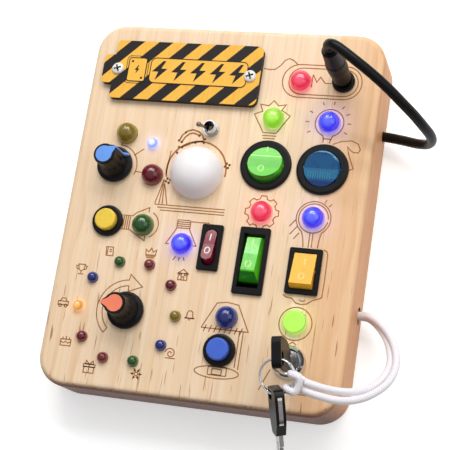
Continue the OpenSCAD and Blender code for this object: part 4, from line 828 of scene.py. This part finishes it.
# lock: lamp's circle, a small mark and two lines
shut_lines += [ring((46.8, -49.2), 7.4)]
open_lines += [[(45, -58.6), (46.8, -57.4), (48.6, -58.6)], [(38.6, -70.4), (36.6, -75), (34.6, -80)],
               [(42.4, -79.8), (56.4, -79.8)]]
# flat bulb, dark green lamp
open_lines += [[(x, -7.2), (x, -13.2)] for x in (-41.2, -40.2, -39.2, -38.2)]
open_lines += [[(-42, -6.8), (-37.2, -6.8), (-35.2, -5), (-29.6, -2.2), (-29.6, -4.6)],
               [(-42, -13.5), (-37.8, -13.5), (-33.5, -16), (-29.6, -18.2), (-29.6, -16)],
               arc((-30.6, -10.4), 6.6, -62, 62)]
# hanging lamp, blue lamp
open_lines += [[(-14.7, -6.8 - 0.95 * k), (-8.7, -6.8 - 0.95 * k)] for k in range(5)]
open_lines += [[(-14.9, -6.6), (-14.9, -11.1), (-19, -18.5), (-17.4, -18.5)],
               [(-8.6, -7.2), (-8.6, -11.1), (-4.3, -18.5), (-5.7, -18.5)],
               [(-8.6, -7.2), (-4, -7.3), (0.4, -7.2)], [(-13.1, -24.2), (-14.2, -26)],
               [(-11.3, -24.3), (-11.5, -26.1)], [(-9.4, -24.2), (-8.8, -25.8)]]
# arrow round the orange knob
arrow_head = [(-32.9, -34.6), (-26.4, -39.9), (-32.9, -42.6), (-33, -40.2)]
open_lines.append(arc(ORANGE_KNOB, 14.5, 229, 95) + arrow_head + arc(ORANGE_KNOB, 11.8, 96, 227)
                  + [(-41.5, -62.6)])
# table lamp
open_lines += [[(4.3, -55.3), (10, -43.6), (14.6, -42.8), (20, -43.6), (26.2, -55.3), (4.3, -55.3)],
               [(22.3, -55.3), (22.3, -71.6)], [(24, -55.3), (24, -72.4)]]
open_lines += [[(6.6 + 2.4 * k, -53.8), (5.6 + 2.4 * k, -57)] for k in range(8)]
shut_lines += [ring((14.5, -74.6), 10.2, 2.7), rounded_box(10.5, -75.9, 19, -72.2, 0.4),
               rounded_box(12.4, -75.6, 16.8, -73.1, 0.3)]


def icon(cx, cy, strokes, loops=()):
    """A small sign beside one of the dial's lamps."""
    for lines, drawn in ((open_lines, strokes), (shut_lines, loops)):
        lines += [[(cx + x, cy + y) for x, y in q] for q in drawn]


# book, crown, cup, car, cake, present, snowflake, snail, bell and house
icon(-45.2, -24.7, [[(-0.3, 0.9), (0.9, 0.9)], [(-0.3, 0), (0.9, 0)], [(-1.2, 1.9), (-1.2, -1.6)]],
     [[(-2, 2.1), (1.4, 2.1), (1.8, -2), (-1.6, -2)]])
icon(-25.2, -23.6, [[(-2.4, -1.6), (2.4, -1.6)], [(-2, -2.3), (2, -2.3)]],
     [[(-2.3, -1), (-2.6, 1.5), (-1.1, 0.4), (0, 2.2), (1.1, 0.4), (2.6, 1.5), (2.3, -1)]])
icon(-57.6, -34.3, [[(-1.6, 1.6), (-2.7, 1.4), (-2.2, 0), (-1.2, -0.2)], [(0, -1), (0, -2)],
                    [(1.6, 1.6), (2.7, 1.4), (2.2, 0), (1.2, -0.2)], [(-1.3, -2.4), (1.3, -2.4)]],
     [[(-1.6, 2.2), (1.6, 2.2), (1.2, -0.2), (0, -1), (-1.2, -0.2)]])
icon(-63.4, -50.6, [[(-1.6, 0.3), (-0.9, 1.8), (1, 1.8), (1.7, 0.3)]],
     [[(-2.5, -1.4), (-2.5, 0.3), (2.5, 0.3), (2.5, -1.4)]]
     + [ring((x, -1.7), 0.7, step=45) for x in (-1.4, 1.4)])
icon(-58.7, -68.6, [[(-2.5, -0.2), (-1.2, -0.9), (0, -0.2), (1.2, -0.9), (2.5, -0.2)], [(0, 0.9), (0, 2.4)],
                    [(-1.6, 0.9), (-1.6, 1.9)], [(1.6, 0.9), (1.6, 1.9)]],
     [[(-2.5, -2.1), (-2.5, 0.8), (2.5, 0.8), (2.5, -2.1)]])
icon(-45.2, -79.2, [[(0, 1.3), (0, -2.6)],
                    [(0, 1.3), (-1.6, 2.9), (-2, 1.5), (0, 1.3), (1.6, 2.9), (2, 1.5), (0, 1.3)]],
     [[(-2.8, 0.1), (-2.8, 1.3), (2.8, 1.3), (2.8, 0.1)],
      [(-2.4, -2.6), (-2.4, 0.1), (2.4, 0.1), (2.4, -2.6)]])
icon(-22.3, -79.6, [[turned(1.0, 60 * k), turned(2.8, 60 * k)] for k in range(6)]
     + [[turned(1.5, 60 * k - 22), turned(2.1, 60 * k), turned(1.5, 60 * k + 22)] for k in range(6)],
     [ring((0, 0), 0.8, step=45)])
icon(-8.0, -68.6, [[turned(0.35 + 0.0042 * a, a) for a in range(0, 560, 28)], [(-2.2, -2.2), (2.6, -2.2)]])
icon(-1.8, -50.4, [[(-2.3, -1.5), (2.3, -1.5)], [(-0.5, -2.2), (0.5, -2.2)]],
     [[(-2, -1.4), (-1.4, -0.6), (-1.3, 1), (-0.6, 1.9), (0.6, 1.9), (1.3, 1), (1.4, -0.6), (2, -1.4)]])
icon(-8.2, -32.4, [[(-2.8, 0.4), (0, 2.6), (2.8, 0.4)],
                   [(-0.6, -2.4), (-0.6, -0.9), (0.6, -0.9), (0.6, -2.4)]],
     [[(-2.1, 0.7), (-2.1, -2.4), (2.1, -2.4), (2.1, 0.7)]]
     + [rounded_box(x, -0.2, x + 0.9, 0.7, 0.1) for x in (-1.6, 0.7)])

thin = [ribbon(q, LINE_W, LINE_TOP) for q in open_lines]
thin += [ribbon(q, LINE_W, LINE_TOP, closed=True) for q in shut_lines]
bold = [ribbon(q, BOLD_W, LINE_TOP) for q in bold_lines]
dot_profile = [(0, -0.05), (0.62, -0.05), (0.62, 0.03), (0.4, 0.055), (0, 0.055)]
spots = [revolve(dot_profile, at, 12) for at in dots]
piece("burnt_lines", *joined(thin), "board", MAT["scorch"], "pine")
piece("bell_lines", *joined(bold), "board", MAT["scorch"], "pine")
piece("burnt_dots", *joined(spots), "board", MAT["scorch_dark"], "pine")


# ---------------------------------------------------------------- marks on the switches
def height_on(node, x, y, above=70.0):
    """Height of a node's surface seen from above, or None beside it."""
    hit, at, _, _ = NODE[node].ray_cast(Vector((x, y, above)) * MM, Vector((0, 0, -1)))
    return at.z / MM if hit else None


def on_node(node, pts, lift, steps=4, shut=False):
    """Points laid on a node's surface from above, with more points between them."""
    n = len(pts)
    out = []
    for i in range(n if shut else n - 1):
        a, b = Vector(pts[i]), Vector(pts[(i + 1) % n])
        out += [a.lerp(b, k / steps) for k in range(steps)]
    if not shut:
        out.append(Vector(pts[-1]))
    laid = []
    z = FACE
    for q in out:
        z = height_on(node, q.x, q.y) or z
        laid.append((q.x, q.y, z + lift))
    return laid


def marks(name, node, body, mat, slot, strokes, loops, width=0.55, lift=0.05):
    """Printed strokes and loops as thin ribbons on a node's surface."""
    parts = [ribbon(on_node(node, q, lift), width, sink=0.35) for q in strokes]
    parts += [ribbon(on_node(node, q, lift, 1, True), width, sink=0.35, closed=True) for q in loops]
    piece(name, *joined(parts), body, MAT[mat], slot)


marks("yellow_rocker_marks", "yellow_rocker", "yellow_rocker", "mark_yellow", "yellow_plastic",
      [[(47.6, -20.2), (47.6, -23.2)]], [ring((47.3, -28.6), 1.25, 1.5, 24)], 0.5)
marks("tall_rocker_marks", "tall_green_rocker", "tall_green_rocker", "mark_green", "green_plastic",
      [[(22.7, -17.6), (22.7, -13.2)], [(20.9, -16.6), (24.5, -16.6)]],
      [ring((22.6, -25.4), 1.25, 1.6, 24)], 0.6)
marks("narrow_rocker_marks", "narrow_red_rocker", "narrow_red_rocker", "mark", "red_plastic",
      [[(2.7, -12.6), (2.7, -16.0)]], [ring((2.6, -20.9), 1.15, 1.5, 24)], 0.5)
marks("round_green_marks", "round_green_rocker", "round_green_rocker", "mark_green", "green_plastic",
      [[(22.6, 28.4), (22.6, 31)]], [ring((21.6, 19.4), 1.3, 1.5, 24)], 0.5)
marks("round_blue_marks", "round_blue_rocker", "round_blue_rocker", "mark_blue", "blue_translucent",
      [[(43.4 + 1.1 * k, 17.0), (43.4 + 1.1 * k, 20.4)] for k in range(10)], [], 0.28, 0.02)
crosses = [[turned(1.75, a + 180, at), turned(1.75, a, at)] for at in SIGN_SCREWS for a in (20, 110)]
marks("screw_crosses", "sign_screws", "board", "sign_dark", "white_screws", crosses, [], 0.8, 0.06)

# ---------------------------------------------------------------- sign: a card and a band of plain bolts
CARD = (-51.6, 58.7, -42.6, 70.6, 1.2)          # left, foot, right, head and corner radius, mm
CARD_FRAME = (-52.6, 57.7, -41.6, 71.6, 1.9)
BAND = (-40.4, 58.4, 7.6, 71.0, 2.6)
PANEL_TOP, INK_TOP = SIGN_TOP + 0.12, SIGN_TOP + 0.17


def bolt(x, wide, tall):
    """A lightning bolt round a point of the band's middle line."""
    shape = [(0.6, 3.4), (-1.9, -0.4), (-0.3, -0.4), (-0.9, -3.4), (1.9, 0.7), (0.3, 0.7), (1.3, 3.4)]
    return flat_plate([(x + wide * a, 64.7 + tall * b) for a, b in shape], SIGN_TOP, INK_TOP)


panels = [flat_plate(rounded_box(*box), SIGN_TOP - 0.1, PANEL_TOP) for box in (CARD, BAND)]
inks = [bolt(-47.1, 0.62, 0.62)] + [bolt(-35.6 + 9.6 * k, 2.0, 1.45) for k in range(5)]
inks += [ribbon(rounded_box(*box), 0.45, INK_TOP, closed=True) for box in (CARD, BAND)]
inks.append(ribbon(rounded_box(*CARD_FRAME), 0.3, SIGN_TOP + 0.05, closed=True))
inks += [flat_plate(ring(at, 0.6, step=30), SIGN_TOP, INK_TOP) for at in ((-49.9, 68.8), (-44.3, 60.5))]
piece("sign_panels", *joined(panels), "board", MAT["sign_yellow"], "sign_laminate")
piece("sign_ink", *joined(inks), "board", MAT["sign_dark"], "sign_laminate")

# ---------------------------------------------------------------- floor, sky and studio lamps, in metres
# the floor glows for the camera and in reflections only, so that it looks white and keeps the shadow
ground = Tree("floor")
rays = ground.node("ShaderNodeLightPath").outputs
mirrored = ground.math("MAXIMUM", rays["Is Glossy Ray"], rays["Is Transmission Ray"])
seen = ground.math("MAXIMUM", rays["Is Camera Ray"], mirrored)
matt = ground.node("ShaderNodeBsdfDiffuse", Color=(0.92, 0.92, 0.92, 1)).outputs[0]
glow = ground.node("ShaderNodeEmission", Color=(1, 1, 1, 1), Strength=0.42).outputs[0]
lit = ground.node("ShaderNodeAddShader", i0=matt, i1=glow).outputs[0]
ground.put(ground.out.inputs[0], ground.node("ShaderNodeMixShader", i0=seen, i1=matt, i2=lit).outputs[0])
floor = placed("floor", [(x * 3000, y * 3000, 0) for x, y in ((-1, -1), (1, -1), (1, 1), (-1, 1))],
               [(0, 1, 2, 3)], ground.mat, False)
floor.location.z = -0.0004

# a white sky to the camera, and for the object a dimmer one that darkens towards the floor
sky = Tree("world", bpy.data.worlds, "ShaderNodeOutputWorld")
seen = sky.node("ShaderNodeLightPath").outputs["Is Camera Ray"]
height = sky.axes("ShaderNodeTexCoord", "Generated")[2]
colour = sky.mix(seen, sky.grey(height, (0.30, 0.10), (0.75, 1)), (1, 1, 1, 1))
strength = sky.math("MULTIPLY_ADD", seen, 0.5, 0.5)
sky.put(sky.out.inputs[0], sky.node("ShaderNodeBackground", Color=colour, Strength=strength).outputs[0])
scene.world = sky.mat


def area(name, at, size, power, size_y=None, target=(0, 0, 0)):
    """A square area lamp, or an oblong one, that faces target."""
    data = bpy.data.lights.new(name, "AREA")
    data.energy = power
    data.size = size
    if size_y:
        data.shape = "RECTANGLE"
        data.size_y = size_y
    ob = bpy.data.objects.new(name, data)
    ob.location = at
    ob.rotation_euler = (Vector(target) - Vector(at)).to_track_quat("-Z", "Y").to_euler()
    scene.collection.objects.link(ob)


area("key", (-0.45, 0.65, 0.95), size=0.6, power=1.8)
area("fill", (0.9, 0.05, 0.7), size=0.8, power=2.2)
# three long tubes high at the board's head, which draw thin arcs in the lamps
for k, height_angle in enumerate((46, 57, 68)):
    back, up = turned(1.05, height_angle)
    at = Vector(CAM_BACK) * back + Vector(CAM_UP) * up
    area("strip_%d" % k, at, size=0.95, power=2.7, size_y=0.06, target=(0, 0, 0.03))
